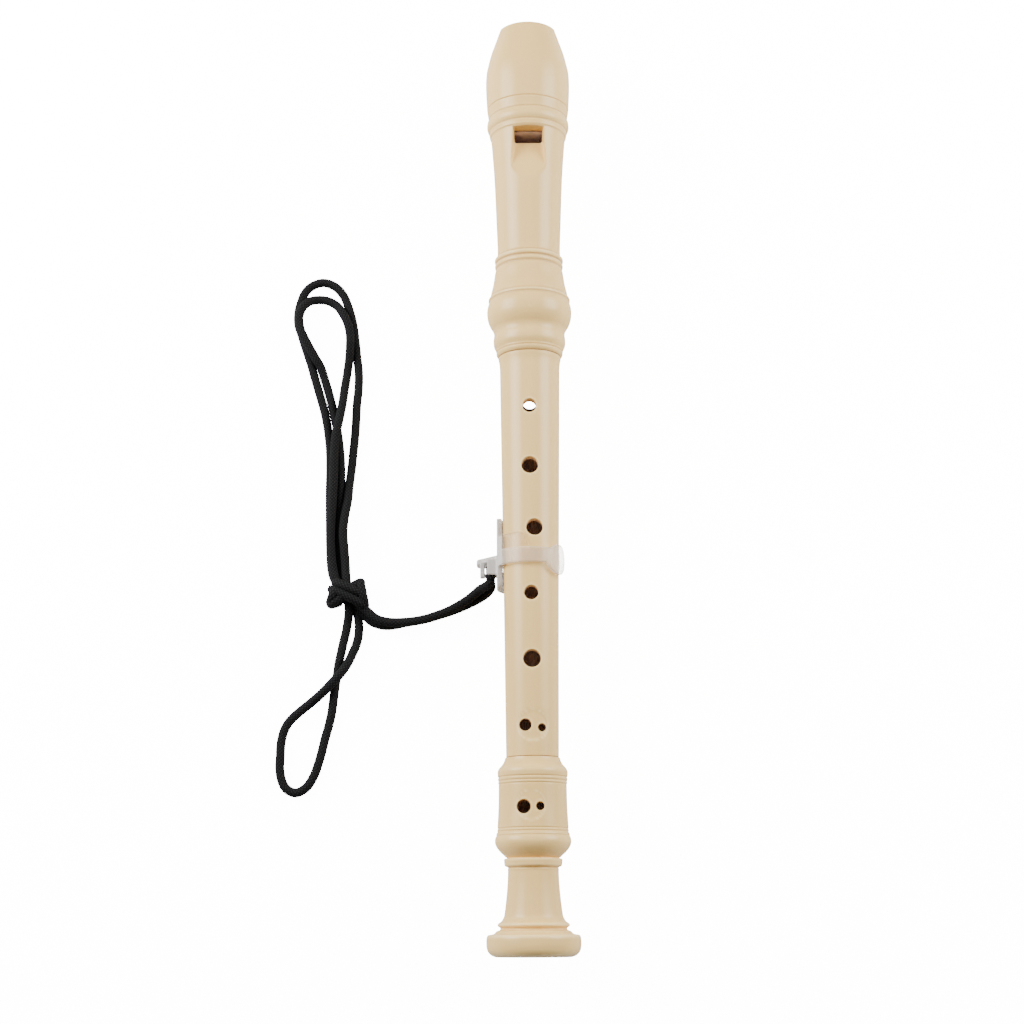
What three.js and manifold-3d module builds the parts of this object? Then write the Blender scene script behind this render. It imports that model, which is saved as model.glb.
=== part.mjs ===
// Soprano recorder with a clip-on thumb rest and a black neck cord, lying with its finger holes up.
// Millimetres, +Z up, +Y towards the mouthpiece. The table is Z = 0 and Y = 0 is the middle of the length.
import * as THREE from 'three';
import { mergeVertices } from 'three/addons/utils/BufferGeometryUtils.js';
import Module from 'manifold-3d';

const wasm = await Module();
wasm.setup();

// ---------------------------------------------------------------- driving dimensions
const LENGTH = 328;             // tip of the beak to the foot's end
const BELL_R = 15.5;            // the bell, which sets the height of the axis
const ROUND = 36;               // facets round a turned piece
const GAP = 0.3;                // between pieces that touch

const FOOT_TOP = 64.3;          // stations are measured along the axis from the foot's end
const HEAD_FOOT = 203.5;        // lower edge of the head
const BEAK_JOINT = 297.4;       // the beak meets the head tube
const LOWER_TENON = 51.6;       // end of the middle joint's lower tenon
const UPPER_TENON = 221.5;      // end of its upper tenon
const LOWER_TENON_R = 8.1;
const UPPER_TENON_R = 9.2;
const TENON_CLEARANCE = 0.12;   // radial play between a tenon and its socket
const FOOT_BORE = 5.2;
const MIDDLE_BORE_LOW = 5.3;
const MIDDLE_BORE_HIGH = 6.6;
const HEAD_BORE = 7.0;
const SPIGOT_R = 10.3;          // the beak's spigot in the head tube
const SPIGOT_END = 290.3;

const WINDOW_WIDTH = 10;
const LABIUM = 281.7;           // sharp edge that splits the air
const LABIUM_HEIGHT = 7.4;
const RAMP_TOP = 266.7;         // where the labium ramp meets the outside
const RAMP_HEIGHT = 12.2;
const RAMP_WIDTH = 11.8;
const WINDWAY_EXIT = 285.7;
const WINDWAY_WIDTH = 10.4;
const WINDWAY_ROOF = 9.0;       // heights above the axis
const WINDWAY_FLOOR = 7.6;

const CLIP_BORE = 9.95;         // inside radius of the clip, on a tube of 9.3 to 9.7
const BAND_R = 11.5;
const SADDLE_R = 11.2;
const PLATE_R = 11.75;
const EAR_R = 11.6;
const LEDGE_REACH = 18.8;       // the thumb ledge's edge, left of the axis
const EYELET_BAR_R = 0.7;
const EYELET_BAR = { station: 126.8, height: -5.6 };
const CLIP_LOW = 128.6;         // lower edge of the band and of the saddle
const BAND_HIGH = 133.7;
const SADDLE_HIGH = 139;
const PLATE_STATIONS = [120.7, 145.7];
const LEDGE_STATIONS = [131.2, 133.2];
const SADDLE_ARC = [104, 258];  // degrees round the tube, from its right side over the top
const PLATE_ARC = [168, 262];
const BAND_ARC = [40, 182];
const EAR_ARC = [8, 68];
const EAR = { station: 130.1, height: 6.3, halfLength: 5.2, halfHeight: 4.2 };
const LEG_X = [-17.5, -15.9];   // the eyelet's outer leg
const LEG_HALF_HEIGHT = 1.6;
const TAB = { x: [-15, -10.9], low: 126.3, heights: [-1.1, 0.3] };

const CORD_R = 1.5;
const CORD_SIDES = 8;
const CORD_STEP = 8.6;          // about three diameters

const AXIS_X = (LEDGE_REACH - BELL_R) / 2;   // centres the box of recorder and clip on X = 0
const AXIS_Z = BELL_R;
const MIDDLE = LENGTH / 2;

// front holes: [station, offset to the right, radius]
const FRONT_HOLES = [
  [183.4, -0.3, 2.35], [162.4, -0.3, 2.85], [140.8, 1.1, 2.8], [118.4, -0.1, 2.4], [96.2, 0, 2.95],
  [74.3, -2.4, 2.05], [73.4, 3.1, 1.35],
];
const FOOT_HOLES = [[47.6, -3.1, 2.3], [47.7, 2.3, 1.4]];
const THUMB_HOLE = [189.5, 0, 2.75];

// outlines of the turned pieces: [station, radius], from the foot's end towards the mouthpiece
const FOOT_OUTSIDE = [
  [0, 12.4], [0.5, 13.9], [1.7, 15.05], [3.2, 15.45], [4.6, BELL_R], [6.2, 15.4], [7.0, 15.0],
  [7.3, 12.9], [8.2, 12.4], [8.7, 11.3], [9.3, 11.2], [9.7, 11.8], [10.3, 11.7], [11.2, 10.5],
  [12.6, 9.7], [14.8, 9.35], [20, 8.75], [28.2, 8.3], [28.8, 9.3], [31, 9.6], [31.4, 8.7],
  [32.2, 9.5], [33.3, 10.75], [35.4, 12.1], [36.7, 12.7], [38.4, 12.2], [42, 11.75],
  [48, 11.4], [54.9, 11.3], [59.4, 11.7], [60.4, 11.3], [62, 9.9], [63.2, 9.3], [FOOT_TOP - GAP, 9.2],
];
const HEAD_OUTSIDE = [
  [HEAD_FOOT, 11.1], [204.4, 11.55], [206.2, 11.8], [207.4, 12.5], [208.9, 12.65], [210.6, 12.5],
  [212.3, 12.45], [213.6, 12.9], [215.5, 14.0], [217.5, 14.7], [220, 14.95], [221.8, 14.75],
  [224.2, 14.2], [227, 13.5], [230.4, 12.65], [234.5, 12.1], [238, 11.9], [239.5, 12.1],
  [240.4, 11.9], [241.2, 11.2], [244.2, 11.1], [256.6, 11.6], [271.2, 12.2], [283, 13.0],
  [288, 13.5], [289, 14.2], [291.5, 14.75], [293.3, 14.6], [294.7, 14.3], [BEAK_JOINT - GAP, 14.7],
];
const BEAK_OUTSIDE = [
  [BEAK_JOINT, 14.75], [301, 14.95], [305, 15.15], [308.2, 15.2], [310.6, 15.1], [312.7, 14.8],
  [316, 14.2], [318.8, 13.4], [322.2, 12.35], [325.5, 11.35], [LENGTH, 10.6],
];

// ---------------------------------------------------------------- making solids
function solid(geometry) {
  const bare = geometry.clone();
  for (const name of Object.keys(bare.attributes)) {
    if (name !== 'position') bare.deleteAttribute(name);
  }
  const merged = mergeVertices(bare, 1e-4);
  const corners = merged.index.array;
  const triangles = [];
  for (let i = 0; i < corners.length; i += 3) {
    const [a, b, c] = corners.slice(i, i + 3);
    if (a !== b && b !== c && c !== a) triangles.push(a, b, c);
  }
  return new wasm.Manifold(new wasm.Mesh({
    numProp: 3,
    vertProperties: merged.attributes.position.array,
    triVerts: new Uint32Array(triangles),
  }));
}

function geometryOf(body) {
  const { vertProperties, triVerts } = body.getMesh();
  const geometry = new THREE.BufferGeometry();
  geometry.setAttribute('position', new THREE.BufferAttribute(vertProperties, 3));
  geometry.setIndex(new THREE.BufferAttribute(triVerts, 1));
  return geometry;
}

// moves a shape from the axis' own place (X across, Y by station, Z up) into the part's frame
function placed(geometry) {
  return geometry.translate(AXIS_X, -MIDDLE, AXIS_Z);
}

// a closed ring turned about the recorder's axis: its outside, then its inside on the way back
function turned(outside, inside = [[outside.at(-1)[0], 0], [outside[0][0], 0]]) {
  const outline = [...outside, ...inside, outside[0]].map(([station, r]) => new THREE.Vector2(r, station));
  return solid(placed(new THREE.LatheGeometry(outline, ROUND)));
}

function cylinderAlongAxis(r, from, to) {
  return turned([[from, r], [to, r]]);
}

// a straight hole drilled along Z, from one height above the axis to another
function drill([station, offset, r], low, high) {
  const hole = new THREE.CylinderGeometry(r, r, high - low, 16).rotateX(Math.PI / 2);
  return solid(placed(hole.translate(offset, station, (low + high) / 2)));
}

function box(x, stations, heights) {
  const middle = ([a, b]) => (a + b) / 2;
  const size = ([a, b]) => b - a;
  const block = new THREE.BoxGeometry(size(x), size(stations), size(heights));
  return solid(placed(block.translate(middle(x), middle(stations), middle(heights))));
}

// a side outline of (station, height) pushed out along X, both ways from the axis
function sidePrism(shape, width) {
  const prism = new THREE.ExtrudeGeometry(shape, { depth: width, bevelEnabled: false, curveSegments: 14 });
  const turn = new THREE.Matrix4().makeBasis(
    new THREE.Vector3(0, 1, 0), new THREE.Vector3(0, 0, 1), new THREE.Vector3(1, 0, 0));
  return prism.applyMatrix4(turn).translate(-width / 2, 0, 0);
}

// an outline across the axis (X, Z) pushed along it between two stations
function crossPrism(shape, from, to, curveSegments = 12) {
  const prism = new THREE.ExtrudeGeometry(shape, { depth: to - from, bevelEnabled: false, curveSegments });
  return solid(placed(prism.rotateX(Math.PI / 2).translate(0, to, 0)));
}

// part of a ring round the tube, between two angles: 0 points right, 90 up and 180 left
function wrap(outer, fromDegrees, toDegrees, from, to) {
  const [a, b] = [fromDegrees, toDegrees].map(THREE.MathUtils.degToRad);
  const shape = new THREE.Shape();
  shape.absarc(0, 0, outer, a, b, false);
  shape.absarc(0, 0, CLIP_BORE, b, a, true);
  return crossPrism(shape, from, to, 10);
}

// ---------------------------------------------------------------- the recorder's own pieces
function footJoint() {
  const socket = LOWER_TENON_R + TENON_CLEARANCE;
  const floor = LOWER_TENON - GAP;
  const inside = [
    [FOOT_TOP - GAP, socket + 0.3], [FOOT_TOP - 1, socket], [floor, socket], [floor, FOOT_BORE],
    [10, 4.8], [4, 5.2], [0, 6.6],
  ];
  let body = turned(FOOT_OUTSIDE, inside);
  for (const hole of FOOT_HOLES) body = body.subtract(drill(hole, 2, BELL_R));
  return body;
}

function middleJoint() {
  const outside = [
    [LOWER_TENON, LOWER_TENON_R - 0.4], [LOWER_TENON + 0.8, LOWER_TENON_R], [FOOT_TOP, LOWER_TENON_R],
    [FOOT_TOP, 8.8], [113.6, 9.28], [159.8, 9.92], [199.6, 10.45], [202, 10.75],
    [HEAD_FOOT - GAP, 10.9], [HEAD_FOOT - GAP, UPPER_TENON_R], [UPPER_TENON - 0.8, UPPER_TENON_R],
    [UPPER_TENON, UPPER_TENON_R - 0.4],
  ];
  let body = turned(outside, [[UPPER_TENON, MIDDLE_BORE_HIGH], [LOWER_TENON, MIDDLE_BORE_LOW]]);
  for (const hole of FRONT_HOLES) body = body.subtract(drill(hole, 2, BELL_R));
  return body.subtract(drill(THUMB_HOLE, -BELL_R, -2));
}

function windwayChannel() {
  const side = WINDWAY_WIDTH / 2;
  return box([-side, side], [WINDWAY_EXIT, LENGTH + 1], [4, WINDWAY_ROOF]);
}

function labiumRamp() {
  const slope = (RAMP_HEIGHT - LABIUM_HEIGHT) / (LABIUM - RAMP_TOP);
  const beyond = RAMP_TOP - 8;
  const shape = new THREE.Shape();
  shape.moveTo(LABIUM, LABIUM_HEIGHT);
  shape.lineTo(LABIUM, 2 * BELL_R);
  shape.lineTo(beyond, 2 * BELL_R);
  shape.lineTo(beyond, LABIUM_HEIGHT + slope * (LABIUM - beyond));
  return solid(placed(sidePrism(shape, RAMP_WIDTH)));
}

function headTube() {
  const socket = UPPER_TENON_R + TENON_CLEARANCE;
  const top = BEAK_JOINT - GAP;
  const inside = [
    [top, SPIGOT_R + 0.2], [SPIGOT_END - GAP, SPIGOT_R + 0.2], [SPIGOT_END - GAP, HEAD_BORE],
    [UPPER_TENON + GAP, HEAD_BORE], [UPPER_TENON + GAP, socket], [HEAD_FOOT + 1, socket],
    [HEAD_FOOT, socket + 0.3],
  ];
  const half = WINDOW_WIDTH / 2;
  return turned(HEAD_OUTSIDE, inside)
    .subtract(box([-half, half], [LABIUM - 0.5, WINDWAY_EXIT], [3, 2 * BELL_R]))
    .subtract(labiumRamp())
    .subtract(windwayChannel());
}

// the hollow under the beak for the lower lip: everything below this curve goes
function lipCut() {
  const shape = new THREE.Shape();
  shape.moveTo(LENGTH + 1, 4.2);
  shape.bezierCurveTo(318, 3.4, 307, -4, 301, -BELL_R - 2);
  shape.lineTo(LENGTH + 1, -BELL_R - 2);
  return solid(placed(sidePrism(shape, 3 * BELL_R)));
}

function beak() {
  const inside = [[LENGTH, HEAD_BORE], [SPIGOT_END, HEAD_BORE]];
  const spigot = [[SPIGOT_END, SPIGOT_R], [BEAK_JOINT, SPIGOT_R]];
  return turned([...spigot, ...BEAK_OUTSIDE], inside)
    .subtract(windwayChannel())
    .subtract(lipCut());
}

function windwayBlock() {
  const side = WINDWAY_WIDTH / 2 - GAP;
  return cylinderAlongAxis(HEAD_BORE - GAP, WINDWAY_EXIT, LENGTH)
    .add(box([-side, side], [WINDWAY_EXIT, LENGTH], [3, WINDWAY_FLOOR]))
    .subtract(lipCut());
}

// ---------------------------------------------------------------- the clip
function clipEar() {
  const outline = new THREE.Shape();
  const { station, height, halfLength, halfHeight } = EAR;
  outline.absellipse(station, height, halfLength, halfHeight, 0, 2 * Math.PI);
  const rounded = solid(placed(sidePrism(outline, 3 * BELL_R)));
  return wrap(EAR_R, ...EAR_ARC, station - halfLength, station + halfLength).intersect(rounded);
}

function clipLedge() {
  const shape = new THREE.Shape();
  shape.moveTo(-8, -1);
  shape.lineTo(-12, -1.2);
  shape.lineTo(-LEDGE_REACH + 0.6, -8);
  shape.lineTo(-LEDGE_REACH, -9);
  shape.lineTo(-LEDGE_REACH, -13.6);
  shape.quadraticCurveTo(-LEDGE_REACH + 0.2, -15.1, -LEDGE_REACH + 1.8, -15.2);
  shape.lineTo(-10, -15.2);
  shape.quadraticCurveTo(-5, -15, -3.5, -10.6);
  return crossPrism(shape, ...LEDGE_STATIONS, 4).subtract(cylinderAlongAxis(CLIP_BORE, ...PLATE_STATIONS));
}

// the loop under the ledge that the cord hangs from: an outer leg, a round bar, and a tab over the cord
function clipEyelet() {
  const { station, height } = EYELET_BAR;
  const ledge = LEDGE_STATIONS[0] + 0.3;
  const legHeights = [height - LEG_HALF_HEIGHT, height + LEG_HALF_HEIGHT];
  const leg = box(LEG_X, [station - EYELET_BAR_R, ledge], legHeights);
  const barEnds = [LEG_X[0] + 0.8, -PLATE_R + 1.45];
  const barLength = barEnds[1] - barEnds[0];
  const bar = new THREE.CylinderGeometry(EYELET_BAR_R, EYELET_BAR_R, barLength, 12).rotateZ(Math.PI / 2);
  bar.translate((barEnds[0] + barEnds[1]) / 2, station, height);
  const tab = box(TAB.x, [TAB.low, ledge], TAB.heights);
  return leg.add(solid(placed(bar))).add(tab);
}

function thumbRestClip() {
  return wrap(SADDLE_R, ...SADDLE_ARC, CLIP_LOW, SADDLE_HIGH)
    .add(wrap(PLATE_R, ...PLATE_ARC, ...PLATE_STATIONS))
    .add(wrap(BAND_R, ...BAND_ARC, CLIP_LOW, BAND_HIGH))
    .add(clipEar())
    .add(clipLedge())
    .add(clipEyelet());
}

// ---------------------------------------------------------------- the neck cord
// Routes are [right of the axis, along Y, height over the table], chosen by hand.
const LEAD_A = [
  [-13.9, -38.9, 12.45], [-14.1, -39.9, 12.2], [-15.1, -40.7, 11], [-16.8, -41.3, 9.1],
  [-18, -41.7, 7.4], [-19.3, -42.7, 6.2], [-22, -44.6, 4.95], [-24.7, -46.3, 4.7], [-28, -48.1, 4.65],
  [-32.2, -49.8, 4.65], [-36.3, -51.1, 4.65], [-40.4, -51.9, 4.65], [-43.9, -52.2, 4.7],
  [-46.6, -52.3, 4.7], [-49.4, -52.1, 4.65], [-52.2, -51.5, 4.7], [-54.6, -50.2, 4.8],
  [-56.3, -48.6, 5],
];
const LEAD_B = [
  [-13.9, -38.9, 7.35], [-13.7, -40.3, 6.9], [-14.4, -41.6, 5.9], [-16, -42.8, 4.2],
  [-19, -44.3, 2.45], [-21.9, -45.6, 1.7], [-24.7, -46.8, 1.55], [-28.1, -48.1, 1.55],
  [-32.3, -49.4, 1.55], [-36.4, -50.6, 1.55], [-40.6, -51.4, 1.55], [-44.1, -52, 1.55],
  [-46.8, -52.6, 1.55], [-49.6, -52.9, 1.55], [-52.4, -52.6, 1.55], [-55, -51.6, 1.6],
  [-56.7, -50.3, 1.7],
];
const OUTER_LOOP = [
  [-64.1, -36.1, 4.7], [-64.4, -32, 4.4], [-64.9, -26.3, 4.55], [-65.4, -20.6, 4.6],
  [-65, -14.8, 4.2], [-64.1, -8.8, 3.2], [-63.7, -2.7, 2.05], [-63.1, 3.2, 1.55],
  [-62.6, 9.1, 1.55], [-62.1, 14.9, 1.55], [-61.8, 20.8, 1.55], [-61.6, 26.8, 1.55],
  [-61.1, 32.7, 1.55], [-61.1, 38.7, 1.55], [-61.8, 44.7, 1.55], [-62.5, 50.8, 1.55],
  [-63.4, 56.9, 1.55], [-65, 63, 1.55], [-67.5, 68.7, 1.55], [-70.7, 71.8, 1.55], [-74.7, 73, 1.55],
  [-78.7, 71.6, 1.55], [-81.1, 69, 1.55], [-82.5, 65.3, 1.55], [-83.3, 61.5, 1.55],
  [-83.2, 57, 1.55], [-82, 53.2, 1.55], [-80.3, 47.9, 1.55], [-78.5, 42.6, 1.55],
  [-76.5, 35.8, 1.55], [-74.7, 29.8, 1.55], [-73, 23.9, 1.55], [-71.8, 17.9, 1.55],
  [-70.9, 10.6, 1.55], [-70.6, 3.2, 1.55], [-70.6, -5.5, 1.55], [-70.4, -14.2, 1.55],
  [-70.1, -24.2, 1.55], [-69.6, -32.1, 1.55], [-68.9, -35.7, 1.8],
];
const INNER_LOOP = [
  [-68.1, -36.3, 5.1], [-69.1, -30.9, 4.7], [-69.7, -24.2, 4.65], [-69.7, -16.3, 4.7],
  [-69.3, -7.7, 4.7], [-69.1, 0.3, 4.7], [-69, 8.6, 4.7], [-68.6, 14.8, 4.7], [-67.6, 20, 4.7],
  [-66.6, 26.2, 3.9], [-66, 32.6, 2.2], [-65.2, 38.7, 1.8], [-64.5, 43.7, 3.05], [-64.2, 48.6, 4.2],
  [-64.3, 52.3, 4.25], [-65.2, 56.5, 4.3], [-67, 60.4, 3.6], [-69.4, 64, 1.9], [-72.7, 66, 1.55],
  [-76.4, 66.4, 1.6], [-79.3, 65.3, 2.85], [-81.5, 62.5, 4.55], [-82.6, 59.3, 4.6],
  [-82.4, 55.9, 4.8], [-81.5, 52.9, 5.1], [-76.5, 43.6, 3.75], [-74.7, 40.6, 2.75],
  [-73.1, 35.8, 1.55], [-71.3, 29.8, 1.55], [-69.8, 23.9, 1.55], [-68.5, 17.9, 1.55],
  [-67.6, 12, 1.55], [-67, 6.1, 1.6], [-66.8, -1.2, 1.6], [-66.9, -8.4, 1.6], [-67, -14.2, 1.65],
  [-67, -20, 1.6], [-66.8, -27.1, 1.6], [-66, -33.9, 1.65], [-65.3, -36.4, 1.7],
];
const LOWER_LOOP = [
  [-63.2, -50, 2.6], [-63.5, -51.6, 1.8], [-64.1, -55.2, 1.55], [-64.9, -58.7, 1.55],
  [-65.6, -62.2, 1.55], [-66.4, -66.2, 1.55], [-66.8, -69.6, 1.55], [-67.3, -72.7, 1.55],
  [-67.7, -76.2, 1.55], [-68.1, -79.9, 1.55], [-68.6, -83.7, 1.55], [-69.5, -87.8, 1.55],
  [-70.6, -91.9, 1.55], [-71.6, -96.3, 1.55], [-72.7, -100.3, 1.55], [-74.1, -104.3, 1.55],
  [-76.6, -108.2, 1.55], [-80.2, -110, 1.55], [-83.5, -108.5, 1.55], [-85.1, -105.5, 1.55],
  [-85.8, -101.6, 1.55], [-85.7, -97.9, 1.55], [-85.6, -93.8, 1.55], [-84.8, -89.6, 1.55],
  [-83.1, -86.2, 1.55], [-79.7, -82.8, 1.55], [-75.4, -79.4, 2.1], [-71.6, -76.4, 3.9],
  [-68.5, -73.3, 4.7], [-65.4, -69.9, 4.7], [-63.2, -66.5, 3.9], [-61.6, -62.6, 2.3],
  [-60.3, -59.1, 1.55], [-59.6, -55.2, 1.55], [-59.7, -51.7, 1.6], [-60.1, -49, 1.7],
];
const HITCH_X = LEAD_A[0][0];   // the hitch stands where both leads begin
const KNOT = { centre: [-63.3, -42.4, 4.95], half: [7.4, 5.3, 4.8] };

function inFrame([x, y, z]) {
  return new THREE.Vector3(x + AXIS_X, y, z);
}

function cordTube(route, steps) {
  const path = new THREE.CatmullRomCurve3(route.map(inFrame));
  const section = new THREE.Shape();
  section.absarc(0, 0, CORD_R, 0, 2 * Math.PI);
  return new THREE.ExtrudeGeometry(section, {
    steps: steps ?? Math.round(path.getLength() / CORD_STEP),
    curveSegments: CORD_SIDES / 2,   // the two halves of the circle get this many sides each
    extrudePath: path,
  });
}

// the cord's turn round the eyelet's bar, a half circle in the plane across the bar
function cordHitch() {
  const turnR = EYELET_BAR_R + GAP + CORD_R + 0.05;
  const centreY = EYELET_BAR.station - MIDDLE;
  const centreZ = EYELET_BAR.height + AXIS_Z;
  const half = [90, 60, 30, 0, -30, -60, -90].map((degrees) => {
    const angle = THREE.MathUtils.degToRad(degrees);
    return [HITCH_X, centreY + turnR * Math.cos(angle), centreZ + turnR * Math.sin(angle)];
  });
  const ends = [1, -1].map((side) => [HITCH_X, centreY - 1, centreZ + side * turnR]);
  return cordTube([ends[0], ...half, ends[1]], 7);
}

function cordKnot() {
  const ball = new THREE.SphereGeometry(1, 20, 12);
  return ball.scale(...KNOT.half).translate(...inFrame(KNOT.centre).toArray());
}

// ---------------------------------------------------------------- the model
const ivory = new THREE.MeshStandardMaterial({ color: 0xe0cba6, roughness: 0.38, metalness: 0 });
const clear = new THREE.MeshStandardMaterial({
  color: 0xd9d3cc, roughness: 0.3, transparent: true, opacity: 0.6,
});
const black = new THREE.MeshStandardMaterial({ color: 0x141414, roughness: 0.9, metalness: 0 });

const model = new THREE.Group();

function piece(name, geometry, material) {
  const mesh = new THREE.Mesh(geometry, material);
  mesh.name = name;
  model.add(mesh);
}

piece('foot_joint', geometryOf(footJoint()), ivory);
piece('middle_joint', geometryOf(middleJoint()), ivory);
piece('head_tube', geometryOf(headTube()), ivory);
piece('beak', geometryOf(beak()), ivory);
piece('windway_block', geometryOf(windwayBlock()), ivory);
piece('thumb_rest_clip', geometryOf(thumbRestClip()), clear);
piece('neck_cord_hitch', cordHitch(), black);
piece('neck_cord_lead_a', cordTube(LEAD_A), black);
piece('neck_cord_lead_b', cordTube(LEAD_B), black);
piece('neck_cord_knot', cordKnot(), black);
piece('neck_cord_outer_loop', cordTube(OUTER_LOOP), black);
piece('neck_cord_inner_loop', cordTube(INNER_LOOP), black);
piece('neck_cord_lower_loop', cordTube(LOWER_LOOP), black);

export default model;
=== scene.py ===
# %% [markdown]
# # A soprano recorder with a clip-on thumb rest and a neck cord
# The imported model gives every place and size. This script puts fine surfaces and finishes round it:
# turned plastic joints, a clear spring clip and a braided cord that lies loose on the table.

# %% Load the frame
import math

import bpy
import numpy as np
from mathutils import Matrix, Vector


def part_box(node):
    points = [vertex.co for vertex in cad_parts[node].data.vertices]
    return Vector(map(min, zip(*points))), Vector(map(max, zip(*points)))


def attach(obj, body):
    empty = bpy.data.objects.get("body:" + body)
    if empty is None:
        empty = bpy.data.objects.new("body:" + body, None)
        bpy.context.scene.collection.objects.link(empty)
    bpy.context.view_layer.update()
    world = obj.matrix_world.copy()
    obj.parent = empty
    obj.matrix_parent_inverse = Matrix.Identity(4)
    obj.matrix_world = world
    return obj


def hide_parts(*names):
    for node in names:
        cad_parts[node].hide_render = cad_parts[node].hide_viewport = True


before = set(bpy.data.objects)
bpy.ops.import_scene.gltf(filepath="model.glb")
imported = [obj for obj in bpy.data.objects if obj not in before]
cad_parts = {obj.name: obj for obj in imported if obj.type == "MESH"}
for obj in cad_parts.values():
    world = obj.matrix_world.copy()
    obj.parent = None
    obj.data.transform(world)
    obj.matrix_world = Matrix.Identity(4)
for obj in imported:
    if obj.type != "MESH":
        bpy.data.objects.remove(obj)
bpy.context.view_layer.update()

# %% [markdown]
# ## Where things are
# Turned pieces are described as they would be on a lathe: a station in millimetres along the axis
# from the foot's end, and a radius. The frame says where that axis runs.

# %% The axis and the scale
MM = 0.001
foot_low, foot_high = (np.array(corner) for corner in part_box("foot_joint"))
beak_high = np.array(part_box("beak")[1])
AXIS_X = (foot_low[0] + foot_high[0]) / 2
AXIS_Z = (foot_low[2] + foot_high[2]) / 2
FOOT_END = foot_low[1]
LENGTH = (beak_high[1] - FOOT_END) / MM
BELL_R = (foot_high[0] - foot_low[0]) / 2 / MM
print(f"recorder {LENGTH:.0f} mm long, bell {2 * BELL_R:.1f} mm across")


def in_frame(points):
    """Millimetres from the axis (right, station, up) to metres in the frame."""
    return np.asarray(points, float) * MM + [AXIS_X, FOOT_END, AXIS_Z]


# %% [markdown]
# ## Grids of points
# Almost every surface here is a grid: a row of points for each step along something, and the same
# number of points in each row. Two helpers turn such a grid into a mesh, closed where it needs to be.

# %% From a grid to a mesh
def grid_faces(rows, columns, wrap_rows=False, wrap_columns=True):
    """Corner numbers of the four-sided faces between neighbouring rows and columns."""
    r = np.arange(rows if wrap_rows else rows - 1)[:, None]
    c = np.arange(columns if wrap_columns else columns - 1)[None, :]
    r_next, c_next = (r + 1) % rows, (c + 1) % columns
    corners = [r * columns + c, r * columns + c_next, r_next * columns + c_next, r_next * columns + c]
    return np.stack(np.broadcast_arrays(*corners), axis=-1).reshape(-1, 4)


def add_mesh(name, points, faces):
    """A smooth-shaded mesh object from metres and face corner lists."""
    mesh = bpy.data.meshes.new(name)
    mesh.from_pydata(np.asarray(points).reshape(-1, 3).tolist(), [], faces)
    mesh.validate()
    mesh.shade_smooth()
    piece = bpy.data.objects.new(name, mesh)
    bpy.context.scene.collection.objects.link(piece)
    return piece


def closed_tubes(name, *grids):
    """Each grid of rings becomes a tube with its two ends closed, all in one mesh, facing outwards.

    A ring that turns anticlockwise about the way to the next ring has its faces the right way
    round; the others are reversed."""
    faces, start = [], 0
    for grid in grids:
        rows, columns = grid.shape[:2]
        middle = grid[:2].mean(axis=1)
        spokes = grid[0] - middle[0]
        area = np.cross(spokes, np.roll(spokes, -1, axis=0)).sum(axis=0)
        step = 1 if area @ (middle[1] - middle[0]) > 0 else -1
        caps = [np.arange(columns)[::-step], (np.arange(columns) + (rows - 1) * columns)[::step]]
        sides = grid_faces(rows, columns)[:, ::step]
        faces += (sides + start).tolist() + [(cap + start).tolist() for cap in caps]
        start += rows * columns
    return add_mesh(name, np.vstack([grid.reshape(-1, 3) for grid in grids]), faces)


def point_outwards(piece):
    """Turns a closed piece's faces outwards when its signed volume says that they point in."""
    mesh = piece.data
    mesh.calc_loop_triangles()
    points = np.empty(len(mesh.vertices) * 3)
    mesh.vertices.foreach_get("co", points)
    corners = np.empty(len(mesh.loop_triangles) * 3, int)
    mesh.loop_triangles.foreach_get("vertices", corners)
    a, b, c = points.reshape(-1, 3)[corners].reshape(-1, 3, 3).transpose(1, 0, 2)
    if np.einsum("ij,ij->", a, np.cross(b, c)) < 0:
        mesh.flip_normals()
    return piece


# %% [markdown]
# ## The camera
# It stands over the foot and looks up along the recorder towards the mouthpiece, so the foot's rings
# look straight and those of the head curve. The lens is a short telephoto.

# %% Camera
CAMERA_STATION, CAMERA_LEFT, CAMERA_UP = 8.1, 7.1, 607.0    # from the foot's end and the axis, mm
TILT = math.radians(14.0)        # from straight down, towards the head
TURN = math.radians(-0.27)       # about the vertical
LENS, SENSOR = 63.67, 36.0
SHIFT_Y = -0.03125

camera_data = bpy.data.cameras.new("camera")
camera_data.lens, camera_data.sensor_width = LENS, SENSOR
camera_data.shift_y = SHIFT_Y
camera_data.dof.use_dof = False
camera_data.clip_start, camera_data.clip_end = 0.01, 20
camera = bpy.data.objects.new("camera", camera_data)
bpy.context.scene.collection.objects.link(camera)
camera.location = in_frame([-CAMERA_LEFT, CAMERA_STATION, CAMERA_UP])
camera.rotation_euler = (TILT, 0, TURN)
bpy.context.scene.camera = camera
print("camera at", [round(v, 3) for v in camera.location])

# %% [markdown]
# ## The cord's route
# A limp braided cord goes where it is put. Each stretch is a list of places, right of the axis, along
# Y and above the table, with a smooth curve through them. The places were moved apart until strands
# that cross no longer overlap. The cord lies on the table and passes over itself in long low humps.
# All the stretches are one closed loop, tied in a knot: two strands from the clip, a long doubled
# loop one way and a short loop the other way.

# %% Routes, in millimetres
CORD_R = 1.5

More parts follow.
